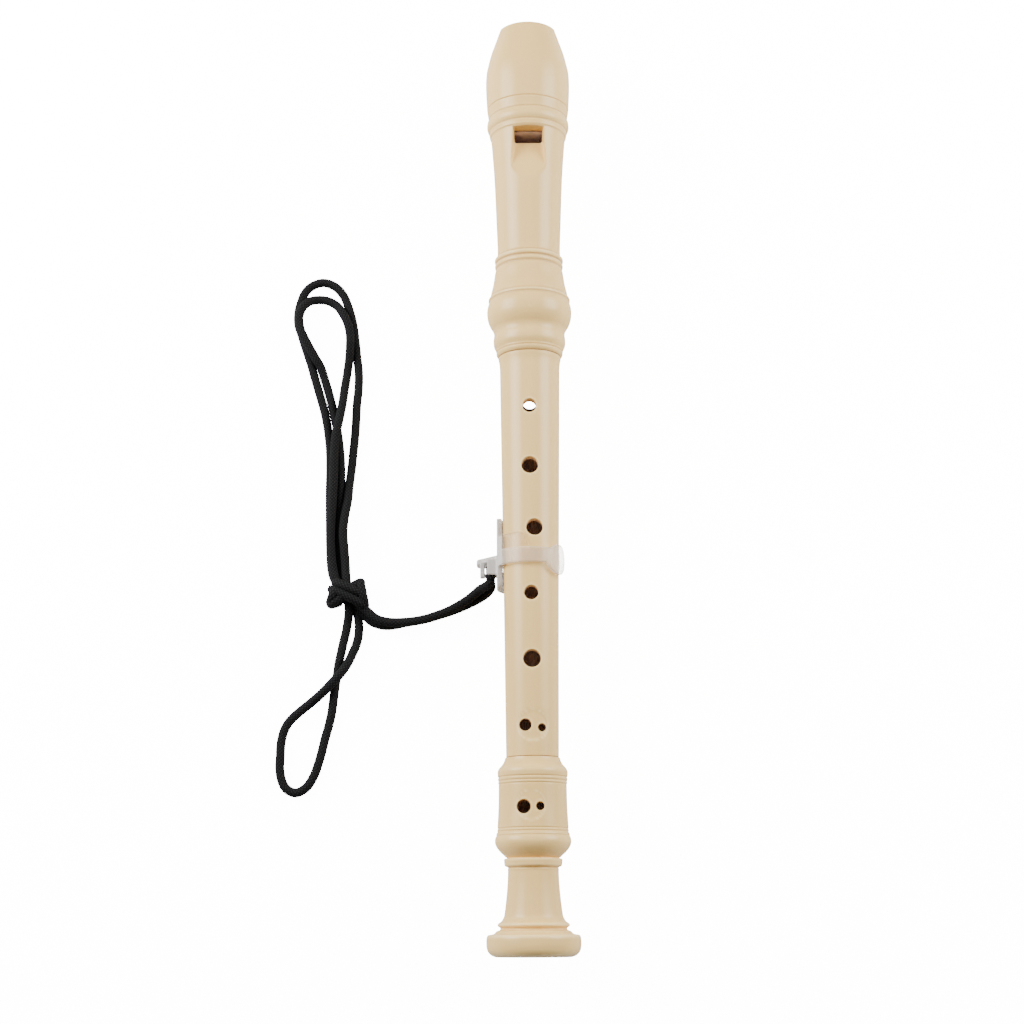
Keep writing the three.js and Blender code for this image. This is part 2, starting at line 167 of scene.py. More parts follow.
LEAD_A = [
    [-13.9, -38.9, 12.45], [-14.1, -39.9, 12.2], [-15.1, -40.7, 11], [-16.8, -41.3, 9.1],
    [-18, -41.7, 7.4], [-19.3, -42.7, 6.2], [-22, -44.6, 4.95], [-24.7, -46.3, 4.7],
    [-28, -48.1, 4.65], [-32.2, -49.8, 4.65], [-36.3, -51.1, 4.65], [-40.4, -51.9, 4.65],
    [-43.9, -52.2, 4.7], [-46.6, -52.3, 4.7], [-49.4, -52.1, 4.65], [-52.2, -51.5, 4.7],
    [-54.6, -50.2, 4.8], [-56.3, -48.6, 5],
]
LEAD_B = [
    [-13.9, -38.9, 7.35], [-13.7, -40.3, 6.9], [-14.4, -41.6, 5.9], [-16, -42.8, 4.2],
    [-19, -44.3, 2.45], [-21.9, -45.6, 1.7], [-24.7, -46.8, 1.55], [-28.1, -48.1, 1.55],
    [-32.3, -49.4, 1.55], [-36.4, -50.6, 1.55], [-40.6, -51.4, 1.55], [-44.1, -52, 1.55],
    [-46.8, -52.6, 1.55], [-49.6, -52.9, 1.55], [-52.4, -52.6, 1.55], [-55, -51.6, 1.6],
    [-56.7, -50.3, 1.7],
]
OUTER_LOOP = [
    [-64.1, -36.1, 4.7], [-64.4, -32, 4.4], [-64.9, -26.3, 4.55], [-65.4, -20.6, 4.6],
    [-65, -14.8, 4.2], [-64.1, -8.8, 3.2], [-63.7, -2.7, 2.05], [-63.1, 3.2, 1.55],
    [-62.6, 9.1, 1.55], [-62.1, 14.9, 1.55], [-61.8, 20.8, 1.55], [-61.6, 26.8, 1.55],
    [-61.1, 32.7, 1.55], [-61.1, 38.7, 1.55], [-61.8, 44.7, 1.55], [-62.5, 50.8, 1.55],
    [-63.4, 56.9, 1.55], [-65, 63, 1.55], [-67.5, 68.7, 1.55], [-70.7, 71.8, 1.55], [-74.7, 73, 1.55],
    [-78.7, 71.6, 1.55], [-81.1, 69, 1.55], [-82.5, 65.3, 1.55], [-83.3, 61.5, 1.55],
    [-83.2, 57, 1.55], [-82, 53.2, 1.55], [-80.3, 47.9, 1.55], [-78.5, 42.6, 1.55],
    [-76.5, 35.8, 1.55], [-74.7, 29.8, 1.55], [-73, 23.9, 1.55], [-71.8, 17.9, 1.55],
    [-70.9, 10.6, 1.55], [-70.6, 3.2, 1.55], [-70.6, -5.5, 1.55], [-70.4, -14.2, 1.55],
    [-70.1, -24.2, 1.55], [-69.6, -32.1, 1.55], [-68.9, -35.7, 1.8],
]
INNER_LOOP = [
    [-68.1, -36.3, 5.1], [-69.1, -30.9, 4.7], [-69.7, -24.2, 4.65], [-69.7, -16.3, 4.7],
    [-69.3, -7.7, 4.7], [-69.1, 0.3, 4.7], [-69, 8.6, 4.7], [-68.6, 14.8, 4.7], [-67.6, 20, 4.7],
    [-66.6, 26.2, 3.9], [-66, 32.6, 2.2], [-65.2, 38.7, 1.8], [-64.5, 43.7, 3.05], [-64.2, 48.6, 4.2],
    [-64.3, 52.3, 4.25], [-65.2, 56.5, 4.3], [-67, 60.4, 3.6], [-69.4, 64, 1.9], [-72.7, 66, 1.55],
    [-76.4, 66.4, 1.6], [-79.3, 65.3, 2.85], [-81.5, 62.5, 4.55], [-82.6, 59.3, 4.6],
    [-82.4, 55.9, 4.8], [-81.5, 52.9, 5.1], [-76.5, 43.6, 3.75], [-74.7, 40.6, 2.75],
    [-73.1, 35.8, 1.55], [-71.3, 29.8, 1.55], [-69.8, 23.9, 1.55], [-68.5, 17.9, 1.55],
    [-67.6, 12, 1.55], [-67, 6.1, 1.6], [-66.8, -1.2, 1.6], [-66.9, -8.4, 1.6], [-67, -14.2, 1.65],
    [-67, -20, 1.6], [-66.8, -27.1, 1.6], [-66, -33.9, 1.65], [-65.3, -36.4, 1.7],
]
LOWER_LOOP = [
    [-63.2, -50, 2.6], [-63.5, -51.6, 1.8], [-64.1, -55.2, 1.55], [-64.9, -58.7, 1.55],
    [-65.6, -62.2, 1.55], [-66.4, -66.2, 1.55], [-66.8, -69.6, 1.55], [-67.3, -72.7, 1.55],
    [-67.7, -76.2, 1.55], [-68.1, -79.9, 1.55], [-68.6, -83.7, 1.55], [-69.5, -87.8, 1.55],
    [-70.6, -91.9, 1.55], [-71.6, -96.3, 1.55], [-72.7, -100.3, 1.55], [-74.1, -104.3, 1.55],
    [-76.6, -108.2, 1.55], [-80.2, -110, 1.55], [-83.5, -108.5, 1.55], [-85.1, -105.5, 1.55],
    [-85.8, -101.6, 1.55], [-85.7, -97.9, 1.55], [-85.6, -93.8, 1.55], [-84.8, -89.6, 1.55],
    [-83.1, -86.2, 1.55], [-79.7, -82.8, 1.55], [-75.4, -79.4, 2.1], [-71.6, -76.4, 3.9],
    [-68.5, -73.3, 4.7], [-65.4, -69.9, 4.7], [-63.2, -66.5, 3.9], [-61.6, -62.6, 2.3],
    [-60.3, -59.1, 1.55], [-59.6, -55.2, 1.55], [-59.7, -51.7, 1.6], [-60.1, -49, 1.7],
]


def smooth_route(route, spacing):
    """A centripetal Catmull-Rom curve through the places, as metres in the frame, evenly spaced.

    Between two places the curve is a blend of the straight lines through four neighbours, with
    knots spaced by the square root of the distance between them. The ends are mirrored outwards."""
    p = np.array(route, float)
    p = np.vstack([2 * p[0] - p[1], p, 2 * p[-1] - p[-2]])
    gaps = np.linalg.norm(np.diff(p, axis=0), axis=1) ** 0.5
    knots = np.concatenate([[0], np.cumsum(gaps)])
    span = np.arange(1, len(p) - 2)
    u = np.linspace(0, 1, 24, endpoint=False)
    t = (knots[span][:, None] + u * gaps[span][:, None])[..., None]
    k = [knots[span + i - 1][:, None, None] for i in range(4)]
    q = [p[span + i - 1][:, None, :] for i in range(4)]

    def between(a, b, ta, tb):
        return ((tb - t) * a + (t - ta) * b) / (tb - ta)

    a = [between(q[i], q[i + 1], k[i], k[i + 1]) for i in range(3)]
    b = [between(a[i], a[i + 1], k[i], k[i + 2]) for i in range(2)]
    curve = np.vstack([between(b[0], b[1], k[1], k[2]).reshape(-1, 3), p[-2]])
    along = np.concatenate([[0], np.cumsum(np.linalg.norm(np.diff(curve, axis=0), axis=1))])
    even = np.linspace(0, along[-1], int(along[-1] / spacing) + 2)
    curve = np.stack([np.interp(even, along, curve[:, i]) for i in range(3)], axis=1)
    return curve * MM + [AXIS_X, 0, 0]


# %% [markdown]
# ## A braided tube
# A round braid is two families of strands that wind opposite ways and pass over and under each other.
# Round the cord and along it, one family keeps u*N + v/pitch constant and the other u*N - v/pitch.
# Where a strand is on top, its back is a half sine across its width, so the relief is in the mesh.

# %% Tubes along a path
BRAID_STRANDS = 8
BRAID_PITCH = 1.25           # one strand's width along the cord, mm
BRAID_RELIEF = 0.16          # depth of the gaps between strands, mm
BRAID_PROUD = 0.1            # how far the strands' backs stand over the cord's radius, mm


def frames_along(path):
    """Two directions square to the path that turn as little as possible from step to step.

    They start square to the first step and each is the last one with the new direction taken out."""
    ahead = np.gradient(path, axis=0)
    ahead /= np.linalg.norm(ahead, axis=1)[:, None]
    side = np.empty_like(path)
    side[0] = np.cross(ahead[0], [0, 0, 1])
    for i in range(1, len(path)):
        side[i] = side[i - 1] - ahead[i] * (side[i - 1] @ ahead[i])
        side[i] /= np.linalg.norm(side[i])
    return side, np.cross(ahead, side)


def braid_height(u, v):
    """Height of the braid's surface, 0 in the gaps to 1 on a strand's back, at u turns and v mm."""
    p, q = u * BRAID_STRANDS + v / BRAID_PITCH, u * BRAID_STRANDS - v / BRAID_PITCH
    first_on_top = (np.floor(p) + np.floor(q)) % 2 == 0
    across = np.where(first_on_top, p, q) % 1
    along = np.where(first_on_top, q, p) % 1
    return np.sin(np.pi * across) ** 0.6 * (0.75 + 0.25 * np.sin(np.pi * along))


def braid_rings(path, radius=CORD_R, around=40):
    """Rings of a braided cord along a path in metres, and for each point its turns, its
    millimetres along the path and the braid's height."""
    side, up = frames_along(path)
    v = np.concatenate([[0], np.cumsum(np.linalg.norm(np.diff(path, axis=0), axis=1))])[:, None] / MM
    u = np.arange(around)[None, :] / around
    strand = braid_height(u, v)
    r = radius + BRAID_PROUD - BRAID_RELIEF * (1 - strand)
    r = r * np.sqrt(np.clip(np.minimum(v, v[-1] - v) / 0.5, 0.3, 1))
    turn = 2 * np.pi * u[..., None]
    outward = np.cos(turn) * side[:, None] + np.sin(turn) * up[:, None]
    places = np.stack(np.broadcast_arrays(u, v, strand), axis=-1)
    return path[:, None] + r[..., None] * MM * outward, places


def braided_cord(name, *paths):
    """One piece of braided cord along each path, with a UV map of turns round it and mm along it.

    The four-sided faces that close the round reach from the last column to 1, not back to 0."""
    rings = [braid_rings(path) for path in paths]
    piece = closed_tubes(name, *[points for points, _ in rings])
    mesh = piece.data
    vertex = np.empty(len(mesh.loops), int)
    mesh.loops.foreach_get("vertex_index", vertex)
    places = np.vstack([place.reshape(-1, 3) for _, place in rings])
    strand = mesh.attributes.new("strand", "FLOAT", "POINT")
    strand.data.foreach_set("value", places[:, 2].astype(np.float32))
    uv = places[vertex, :2]
    start, total = np.empty(len(mesh.polygons), int), np.empty(len(mesh.polygons), int)
    mesh.polygons.foreach_get("loop_start", start)
    mesh.polygons.foreach_get("loop_total", total)
    corners = start[total == 4][:, None] + np.arange(4)
    turns = uv[corners, 0]
    uv[corners, 0] = np.where(turns.max(axis=1, keepdims=True) - turns > 0.5, turns + 1, turns)
    mesh.uv_layers.new(name="braid").data.foreach_set("uv", uv.ravel())
    return piece


# %% The five free stretches
cords = {}
for name, route in {
    "cord_lead_a": LEAD_A, "cord_lead_b": LEAD_B, "cord_outer_loop": OUTER_LOOP,
    "cord_inner_loop": INNER_LOOP, "cord_lower_loop": LOWER_LOOP,
}.items():
    path = smooth_route(route, spacing=0.22)
    cords[name] = braided_cord(name, path), path
    print(f"{name}: {np.linalg.norm(np.diff(path, axis=0), axis=1).sum() / MM:.0f} mm")


# %% [markdown]
# ## Turned outlines
# A moulded recorder keeps the shapes of a wooden one turned on a lathe: bulges, coves, beads and
# scored lines. Each outline below is a list of stations and radii from the foot's end towards the
# mouthpiece. Corners are rounded as far as their neighbours allow, so close points stay crisp and
# distant ones make long soft curves.

# %% Rounding and splitting outlines
def soften(outline, steps=4):
    """Each corner becomes a quadratic Bezier curve from half way along its shorter side, at most."""
    p = np.asarray(outline, float)
    back, ahead = p[:-2] - p[1:-1], p[2:] - p[1:-1]
    before, after = np.linalg.norm(back, axis=1), np.linalg.norm(ahead, axis=1)
    reach = np.minimum(before, after) / 2
    a = p[1:-1] + back * (reach / before)[:, None]
    b = p[1:-1] + ahead * (reach / after)[:, None]
    t = np.linspace(0, 1, steps + 1)[:, None]
    curves = (1 - t) ** 2 * a[:, None] + 2 * t * (1 - t) * p[1:-1, None] + t ** 2 * b[:, None]
    line = np.vstack([p[:1], curves.reshape(-1, 2), p[-1:]])
    apart = np.linalg.norm(np.diff(line, axis=0), axis=1) > 1e-4
    return line[np.concatenate([[True], apart])]


def split(outline, longest):
    """Divides an outline's sides evenly so that none is longer than the given length."""
    p = np.asarray(outline, float)
    counts = np.maximum(1, np.ceil(np.linalg.norm(np.diff(p, axis=0), axis=1) / longest).astype(int))
    start = np.repeat(np.arange(len(counts)), counts)
    share = (np.arange(len(start)) - np.repeat(np.cumsum(counts) - counts, counts)) / counts[start]
    return np.vstack([p[start] + share[:, None] * (p[start + 1] - p[start]), p[-1:]])


# %% The outlines
FOOT_OUTSIDE = [
    [0, 12.4], [0.5, 13.9], [1.7, 15.05], [3.2, 15.45], [4.6, 15.5], [6.2, 15.4], [7.0, 15.0],
    [7.3, 12.9], [8.2, 12.2], [8.6, 10.9], [9.3, 10.9], [9.6, 11.6], [10.2, 11.9], [10.7, 11.5], [11.2, 10.6],
    [12.6, 9.7], [14.8, 9.35], [20, 8.75], [24, 8.45], [27.4, 8.35], [27.9, 8.45], [28.2, 8.25], [28.5, 8.4],
    [28.8, 9.2], [29.2, 9.5], [31, 9.65], [31.25, 9.4], [31.35, 8.7], [31.6, 8.7], [31.75, 9.1], [32.2, 9.5],
    [33.3, 10.75], [34.4, 11.7], [35.4, 12.3], [36.7, 12.7], [38.2, 12.4],
    [38.6, 12.05], [38.9, 12.15], [39.5, 12.0], [39.9, 11.65], [40.2, 11.8], [40.5, 11.8],
    [40.9, 11.55], [41.2, 11.75], [42, 11.7], [48, 11.35], [55, 11.3], [55.3, 11.2], [55.6, 11.45],
    [55.9, 11.5], [56.3, 11.25], [56.7, 11.55], [57.3, 11.55], [57.6, 11.25], [57.9, 11.6],
    [59.6, 11.7], [60.6, 11.2], [62, 9.9], [63.3, 9.3], [64, 9.15],
]
MIDDLE_OUTSIDE = [
    [64.3, 8.8], [67.1, 8.83], [113.6, 9.28], [159.8, 9.92], [199.6, 10.45], [201.2, 10.6],
    [202.4, 10.85], [203.2, 10.95],
]
HEAD_OUTSIDE = [
    [203.5, 11.0], [204.2, 11.5], [204.9, 11.7], [205.2, 11.45], [205.6, 11.75], [206, 11.75],
    [206.6, 12.0], [207.6, 12.5], [208.9, 12.68], [210.4, 12.6], [211.4, 12.4], [212.4, 12.45],
    [213.6, 12.8], [215.5, 14], [217.5, 14.7], [220, 14.95], [221.8, 14.75], [223.9, 14.1],
    [224.2, 14.4], [224.9, 14.4], [225.1, 13.8], [227, 13.5], [230.4, 12.65], [234.5, 12.1],
    [235.4, 11.9], [235.9, 11.6], [236.3, 11.65], [236.7, 12], [237.4, 12.1], [237.8, 11.95],
    [238.1, 11.6], [238.4, 11.65], [238.7, 12.05], [239.4, 12.2], [239.9, 12.1], [240.2, 11.3],
    [241, 11.15], [244.2, 11.1], [256.6, 11.6], [271.2, 12.16], [282.9, 13.03],
    [286.6, 13.4], [286.9, 13.75], [287.9, 13.9], [288.3, 14.05], [288.7, 13.85], [289, 14.1],
    [290.2, 14.75], [291.5, 14.8], [292.6, 14.6], [293.2, 14.3],
    [293.5, 14.05], [293.8, 14.25], [294.7, 14.3], [296.3, 14.55], [297.1, 14.7], [297.33, 14.5],
]
BEAK_OUTSIDE = [
    [297.4, 14.5], [297.6, 14.75], [301, 14.95], [305, 15.15], [308.2, 15.2], [310.6, 15.1],
    [312.7, 14.9], [318.8, 13.5], [322.2, 12.45], [326.5, 11.3], [328, 10.9],
]

# %% [markdown]
# ## Turning a piece
# A joint is a thick-walled ring: its outline runs along the outside, back through the bore, and
# closes on itself. Carrying that outline round the axis gives one closed surface.

# %% The lathe
ROUND = 180                      # columns round a turned piece


def turned_rows(outline, columns=ROUND):
    """A circle of points for each station and radius, from the right, over the top, round."""
    turn = np.arange(columns) / columns * 2 * np.pi
    station, r = np.asarray(outline, float).T[:, :, None]
    return np.stack(np.broadcast_arrays(r * np.cos(turn), station, r * np.sin(turn)), axis=-1)


def ring_piece(name, outside_rows, inside_rows):
    """A closed ring from the rows of its outside and, on the way back, of its inside."""
    rows = np.concatenate([outside_rows, inside_rows])
    faces = grid_faces(*rows.shape[:2], wrap_rows=True).tolist()
    return point_outwards(add_mesh(name, in_frame(rows), faces))


# %% [markdown]
# ## Cutting holes
# Finger holes are moulded with a soft edge. Each is cut with a tool whose sides are straight in the
# wall and flare out in a quarter round where they meet the curved outside, so the edge that is left
# is already rounded.

# %% Cutting tools
EDGE_ANGLE = math.radians(32)    # steeper folds than this are shaded as edges


def cut(piece, cutter):
    """Takes the cutter's shape out of the piece, keeps the result as its mesh, drops the cutter."""
    difference = piece.modifiers.new("cut", "BOOLEAN")
    difference.operation, difference.solver, difference.object = "DIFFERENCE", "EXACT", cutter
    ready = piece.evaluated_get(bpy.context.evaluated_depsgraph_get())
    whole = bpy.data.meshes.new_from_object(ready)
    piece.modifiers.clear()
    piece.data = whole
    bpy.data.objects.remove(cutter)
    whole.shade_smooth()
    whole.set_sharp_from_angle(angle=EDGE_ANGLE)
    print(f"{piece.name}: {len(whole.polygons)} faces after cutting")
    return piece


TOOL_TOP = 20.0                  # flat top of a hole's tool, clear of the tube, mm over the axis


def hole_rings(station, across, radius, outline, lip=0.35, up=1, columns=60):
    """Rings of one finger hole's tool. Its radius is r, then r + lip*(1 - cos a) while it comes up
    to lip*(1 - sin a) below the outside, whose height over the axis is sqrt(R*R - x*x)."""
    a = np.radians([0, 18, 36, 54, 72])
    widths = np.concatenate([[radius], radius + lip * (1 - np.cos(a)), [radius + lip]])[:, None]
    offsets = np.concatenate([[0], -lip * (1 - np.sin(a)), [lip]])[:, None]
    turn = np.arange(columns) / columns * 2 * np.pi
    x, s = across + widths * np.cos(turn), station + widths * np.sin(turn)
    tube_r = np.interp(s, outline[:, 0], outline[:, 1])
    height = np.sqrt(np.maximum(tube_r ** 2 - x ** 2, 1)) + offsets
    height[0] = 2
    top = np.stack([x[-1], s[-1], np.full(columns, TOOL_TOP)], axis=-1)
    rings = np.concatenate([np.stack([x, s, height], axis=-1), [top]])
    return in_frame(rings * [1, 1, up])


def box_rings(x, stations, heights):
    """A box as a tube of four columns along the axis."""
    corners = np.array([[x[0], heights[0]], [x[1], heights[0]], [x[1], heights[1]], [x[0], heights[1]]])
    rows = [np.insert(corners, 1, station, axis=1) for station in stations]
    return in_frame(np.array(rows))


# %% [markdown]
# ## The foot
# The foot carries the last pair of holes, the turned beads and the bell. It turns on the tenon so
# that the little finger can reach.

# %% Foot joint
FOOT_TOP = 64.0
LOWER_TENON, LOWER_TENON_R, SOCKET_PLAY = 51.6, 8.1, 0.12
FOOT_HOLES = [(47.6, -3.1, 2.3), (47.7, 2.3, 1.4)]
FINE_STEP = 0.8                  # longest step along a curved outside, mm


def dish(rows, station, across, radius, depth):
    """Presses a shallow round hollow into rows, with a flat floor and a rim of about a tenth of its width."""
    x, s, z = np.moveaxis(rows, -1, 0)
    near = 1 - np.hypot(x - across, s - station) / radius
    inward = 1 - depth * np.clip(near * 9, 0, 1) * (z > 0) / np.hypot(x, z)
    return np.stack([x * inward, s, z * inward], axis=-1)


foot_outline = split(soften(FOOT_OUTSIDE), FINE_STEP)
foot_inside = split(soften([
    [FOOT_TOP, LOWER_TENON_R + 0.55], [63.6, LOWER_TENON_R + 0.2], [63, LOWER_TENON_R + SOCKET_PLAY],
    [51.4, LOWER_TENON_R + SOCKET_PLAY], [51.3, LOWER_TENON_R], [51.3, 5.2], [50, 5.2],
    [10, 4.8], [4, 5.2], [0.6, 6.4], [0, 7.2],
]), 4)
foot_rows = dish(turned_rows(foot_outline), station=48.1, across=-0.7, radius=5.0, depth=0.14)
foot = ring_piece("foot_shell", foot_rows, turned_rows(foot_inside))
cut(foot, closed_tubes("tool", *[hole_rings(*hole, foot_outline) for hole in FOOT_HOLES]))

# %% [markdown]
# ## The middle joint
# A long slow taper with six places for the fingers in front and one for the thumb behind. Its two
# tenons are ribbed so that they grip when they are greased.

# %% Middle joint
UPPER_TENON, UPPER_TENON_R = 221.5, 9.2
MIDDLE_HOLES = [
    (183.4, -0.3, 2.35), (162.4, -0.3, 2.85), (140.8, 1.1, 2.8), (118.4, -0.1, 2.4), (96.2, 0, 2.95),
    (74.3, -2.4, 2.05), (73.4, 3.1, 1.35),
]
THUMB_HOLE = (189.5, 0, 2.75)


def ribbed(start, end, radius, pitch=2.6, land=1.3, depth=0.3):
    """A tenon's outline: lands at full radius with a groove of the given depth between each two."""
    first = np.arange(start, end - pitch, pitch)
    offsets = np.array([[0, 0], [land, 0], [land + 0.2, -depth], [pitch - 0.2, -depth]])
    return (np.stack([first, np.full_like(first, radius)], axis=1)[:, None] + offsets).reshape(-1, 2)


middle_outline = split(soften(MIDDLE_OUTSIDE), FINE_STEP)
lower_tenon = split(soften(np.vstack([
    [[LOWER_TENON, 5.6], [LOWER_TENON, 7.6], [LOWER_TENON + 0.5, LOWER_TENON_R]],
    ribbed(LOWER_TENON + 1.5, 63, LOWER_TENON_R), [[64.2, LOWER_TENON_R], [64.25, 8.4]],
])), 2)
upper_tenon = split(soften(np.vstack([
    [[203.2, 10.5], [203.2, UPPER_TENON_R + 0.05], [204.4, UPPER_TENON_R]],
    ribbed(205.5, 220, UPPER_TENON_R),
    [[220.6, UPPER_TENON_R], [221.1, UPPER_TENON_R], [UPPER_TENON, UPPER_TENON_R - 0.4], [UPPER_TENON, 7]],
])), 2)
middle_bore = split([[UPPER_TENON - 0.3, 6.6], [LOWER_TENON + 0.3, 5.3]], 4)
middle_rows = turned_rows(np.vstack([lower_tenon, middle_outline, upper_tenon]))
middle_rows = dish(middle_rows, station=74.2, across=0.1, radius=5.2, depth=0.22)
middle = ring_piece("middle_shell", middle_rows, turned_rows(middle_bore))
cut(middle, closed_tubes("tool", *[hole_rings(*hole, middle_outline) for hole in MIDDLE_HOLES],
                         hole_rings(*THUMB_HOLE, middle_outline, up=-1)))

# %% [markdown]
# ## The head
# The window is where the sound starts: air from the windway's slit crosses it and splits on the
# labium, the sharp edge at the end of a sloping ramp. The ramp is sunk between two side walls that
# lean out a little, so that the mould comes away. The head's upper face is worked out as a height
# over a grid: at each point it is the largest height that is inside the turned outline and outside
# the notch, with the two blended where they meet.

# %% The notch and the window
LABIUM, LABIUM_HEIGHT = 281.7, 7.5
RAMP_SLOPE = 0.32
WINDOW_END = 285.7               # the roof's front face
WINDOW_HALF = 4.95
LIP_HALF, LIP_SPREAD = 5.65, 0.058    # half width at the labium, and how it grows down the ramp
WALL_LEAN = 0.15


def smaller(a, b, k):
    """The smaller of a and b, with the crease blended over a width of about k."""
    return np.minimum(a, b) - np.maximum(k - np.abs(a - b), 0) ** 2 / (4 * k)


def notch_depth(x, s, z, tube_r):
    """How far a point is inside the cut-away room over the ramp: the least of its height over the
    floor and its distances from the side walls and from the roof's front face."""
    floor = np.maximum(LABIUM_HEIGHT + RAMP_SLOPE * (LABIUM - 0.45 - s), LABIUM_HEIGHT)
    lip_z = np.sqrt(tube_r ** 2 - LIP_HALF ** 2)
    half = LIP_HALF + LIP_SPREAD * (LABIUM - s) - WALL_LEAN * (lip_z - z)
    sides = smaller(half - x, half + x, 0.1)
    over_floor = z - floor
    front = WINDOW_END - s + 0.08 * (z - LABIUM_HEIGHT)
    return smaller(smaller(over_floor, sides, 0.9), front, 0.25)


def head_heights(x, s, tube_r):
    """Largest z with a negative field, by halving: the field is the larger of the distance outside
    the tube and the depth in the notch, and it only grows with z."""
    low, high = np.zeros_like(x), np.full_like(x, 20.0)
    for _ in range(30):
        z = (low + high) / 2
        outside = np.hypot(x, z) - tube_r
        field = -smaller(-outside, -notch_depth(x, s, z, tube_r), 0.45)
        low, high = np.where(field < 0, z, low), np.where(field < 0, high, z)
    return low


# %% Head tube
HEAD_BORE = 7.0
JOINT_FACE = 297.33
SPIGOT_R, SPIGOT_END = 10.3, 290.3
WINDWAY_HALF, WINDWAY_ROOF = 5.2, 9.2

head_outline = split(soften(HEAD_OUTSIDE), FINE_STEP)
close_rows = np.concatenate([
    np.arange(264.4, 281, 0.3), np.arange(281, 282.2, 0.09), np.arange(282.2, 285.2, 0.4),
    np.arange(285.2, 286.7, 0.09),
])
far_rows = head_outline[(head_outline[:, 0] < 264.2) | (head_outline[:, 0] > 286.7)]
tube_r = np.interp(close_rows, head_outline[:, 0], head_outline[:, 1])
head_outline = np.vstack([far_rows, np.stack([close_rows, tube_r], axis=1)])
head_outline = head_outline[np.argsort(head_outline[:, 0], kind="stable")]

PATCH_HALF = 8.0                 # the columns over this half width stand at fixed places across
half_columns = np.concatenate([np.arange(0.12, 4.8, 0.26), np.arange(4.8, 6.9, 0.085),
                               np.linspace(6.95, PATCH_HALF, 6)])
patch_x = np.concatenate([half_columns[::-1], -half_columns])
station, radius = head_outline.T[:, :, None]
patch_s = np.broadcast_to(station, (len(head_outline), len(patch_x)))
patch_z = head_heights(np.broadcast_to(patch_x, patch_s.shape), patch_s, radius)
left_angle = np.pi - np.arccos(PATCH_HALF / radius)
turn = left_angle + np.linspace(0, 1, 102)[1:-1] * (3 * np.pi - 2 * left_angle)
patch = np.stack(np.broadcast_arrays(patch_x, patch_s, patch_z), axis=-1)
around = np.stack(np.broadcast_arrays(radius * np.cos(turn), station, radius * np.sin(turn)), axis=-1)
head_rows = np.concatenate([patch, around], axis=1)
head_inside = split(soften([
    [JOINT_FACE, SPIGOT_R + 0.8], [JOINT_FACE - 0.4, SPIGOT_R + 0.2], [290.2, SPIGOT_R + 0.2],
    [290, SPIGOT_R], [290, HEAD_BORE + 0.3], [289.8, HEAD_BORE], [221.9, HEAD_BORE],
    [221.8, HEAD_BORE + 0.2], [221.8, 9.1], [221.5, UPPER_TENON_R + SOCKET_PLAY],
    [204.5, UPPER_TENON_R + SOCKET_PLAY], [203.8, UPPER_TENON_R + 0.45], [203.5, UPPER_TENON_R + 0.9],
]), 4)
inner_turn = np.concatenate([
    np.linspace(np.arccos(PATCH_HALF / 13), left_angle.mean(), len(patch_x)),
    left_angle.mean() + np.linspace(0, 1, 102)[1:-1] * (3 * np.pi - 2 * left_angle.mean()),
])
inside_s, inside_r = head_inside.T[:, :, None]
inside_rows = np.stack(np.broadcast_arrays(
    inside_r * np.cos(inner_turn), inside_s, inside_r * np.sin(inner_turn)), axis=-1)
head = ring_piece("head_shell", head_rows, inside_rows)


def window_rings(corner=0.8):
    """The window's tool, a tube going up: a rectangle whose two corners at the labium are round."""
    a = np.radians(np.linspace(0, 90, 7))
    x, s = WINDOW_HALF - corner * (1 - np.sin(a)), LABIUM + corner * (1 - np.cos(a))
    x = np.concatenate([x, [WINDOW_HALF, -WINDOW_HALF], -x[::-1]])
    s = np.concatenate([s, [WINDOW_END, WINDOW_END], s[::-1]])
    return in_frame(np.array([np.stack([x, s, np.full_like(x, z)], axis=1) for z in (2, 10)]))


cut(head, closed_tubes("tool", window_rings()))
cut(head, closed_tubes("tool", box_rings(
    (-WINDWAY_HALF, WINDWAY_HALF), (WINDOW_END - 0.05, JOINT_FACE + 1), (4, WINDWAY_ROOF))))

# %% [markdown]
# ## The beak and its block
# The beak is turned like the rest and then hollowed underneath for the lower lip, which leaves a
# thin curved tip. Pushed up inside is the block, whose arched top is the floor of the windway. Both
# are built from cross-sections: in each one, lines run outwards from a middle point until they leave
# the shape, and the shape is the part of a circle that is over the hollow.

# %% Cross-sections
LIP_CURVE = np.array([[329, 4.2], [318, 3.4], [307, -4], [301, -17.5]])
TIP_ROUNDING = 0.5


def scoop_height(station):
    """Height of the hollow's surface at a station: a cubic Bezier curve through LIP_CURVE's ends."""
    t = np.linspace(0, 1, 300)[:, None]
    weights = [(1 - t) ** 3, 3 * t * (1 - t) ** 2, 3 * t ** 2 * (1 - t), t ** 3]
    curve = sum(w * point for w, point in zip(weights, LIP_CURVE))[::-1]
    return np.interp(station, curve[:, 0], curve[:, 1], left=-40)


def sections(name, station, middle, field, columns=240):
    """A closed solid: in each section, the farthest distance from the middle, in every direction,
    at which the field is still negative, found by halving."""
    turn = np.arange(columns) / columns * 2 * np.pi
    station, middle = station[:, None], middle[:, None]
    low, high = np.zeros((len(station), columns)), np.full((len(station), columns), 30.0)
    for _ in range(32):
        reach = (low + high) / 2
        inside = field(reach * np.cos(turn), middle + reach * np.sin(turn)) < 0
        low, high = np.where(inside, reach, low), np.where(inside, high, reach)
    rows = np.stack(np.broadcast_arrays(low * np.cos(turn), station, middle + low * np.sin(turn)), axis=-1)
    return closed_tubes(name, in_frame(rows))


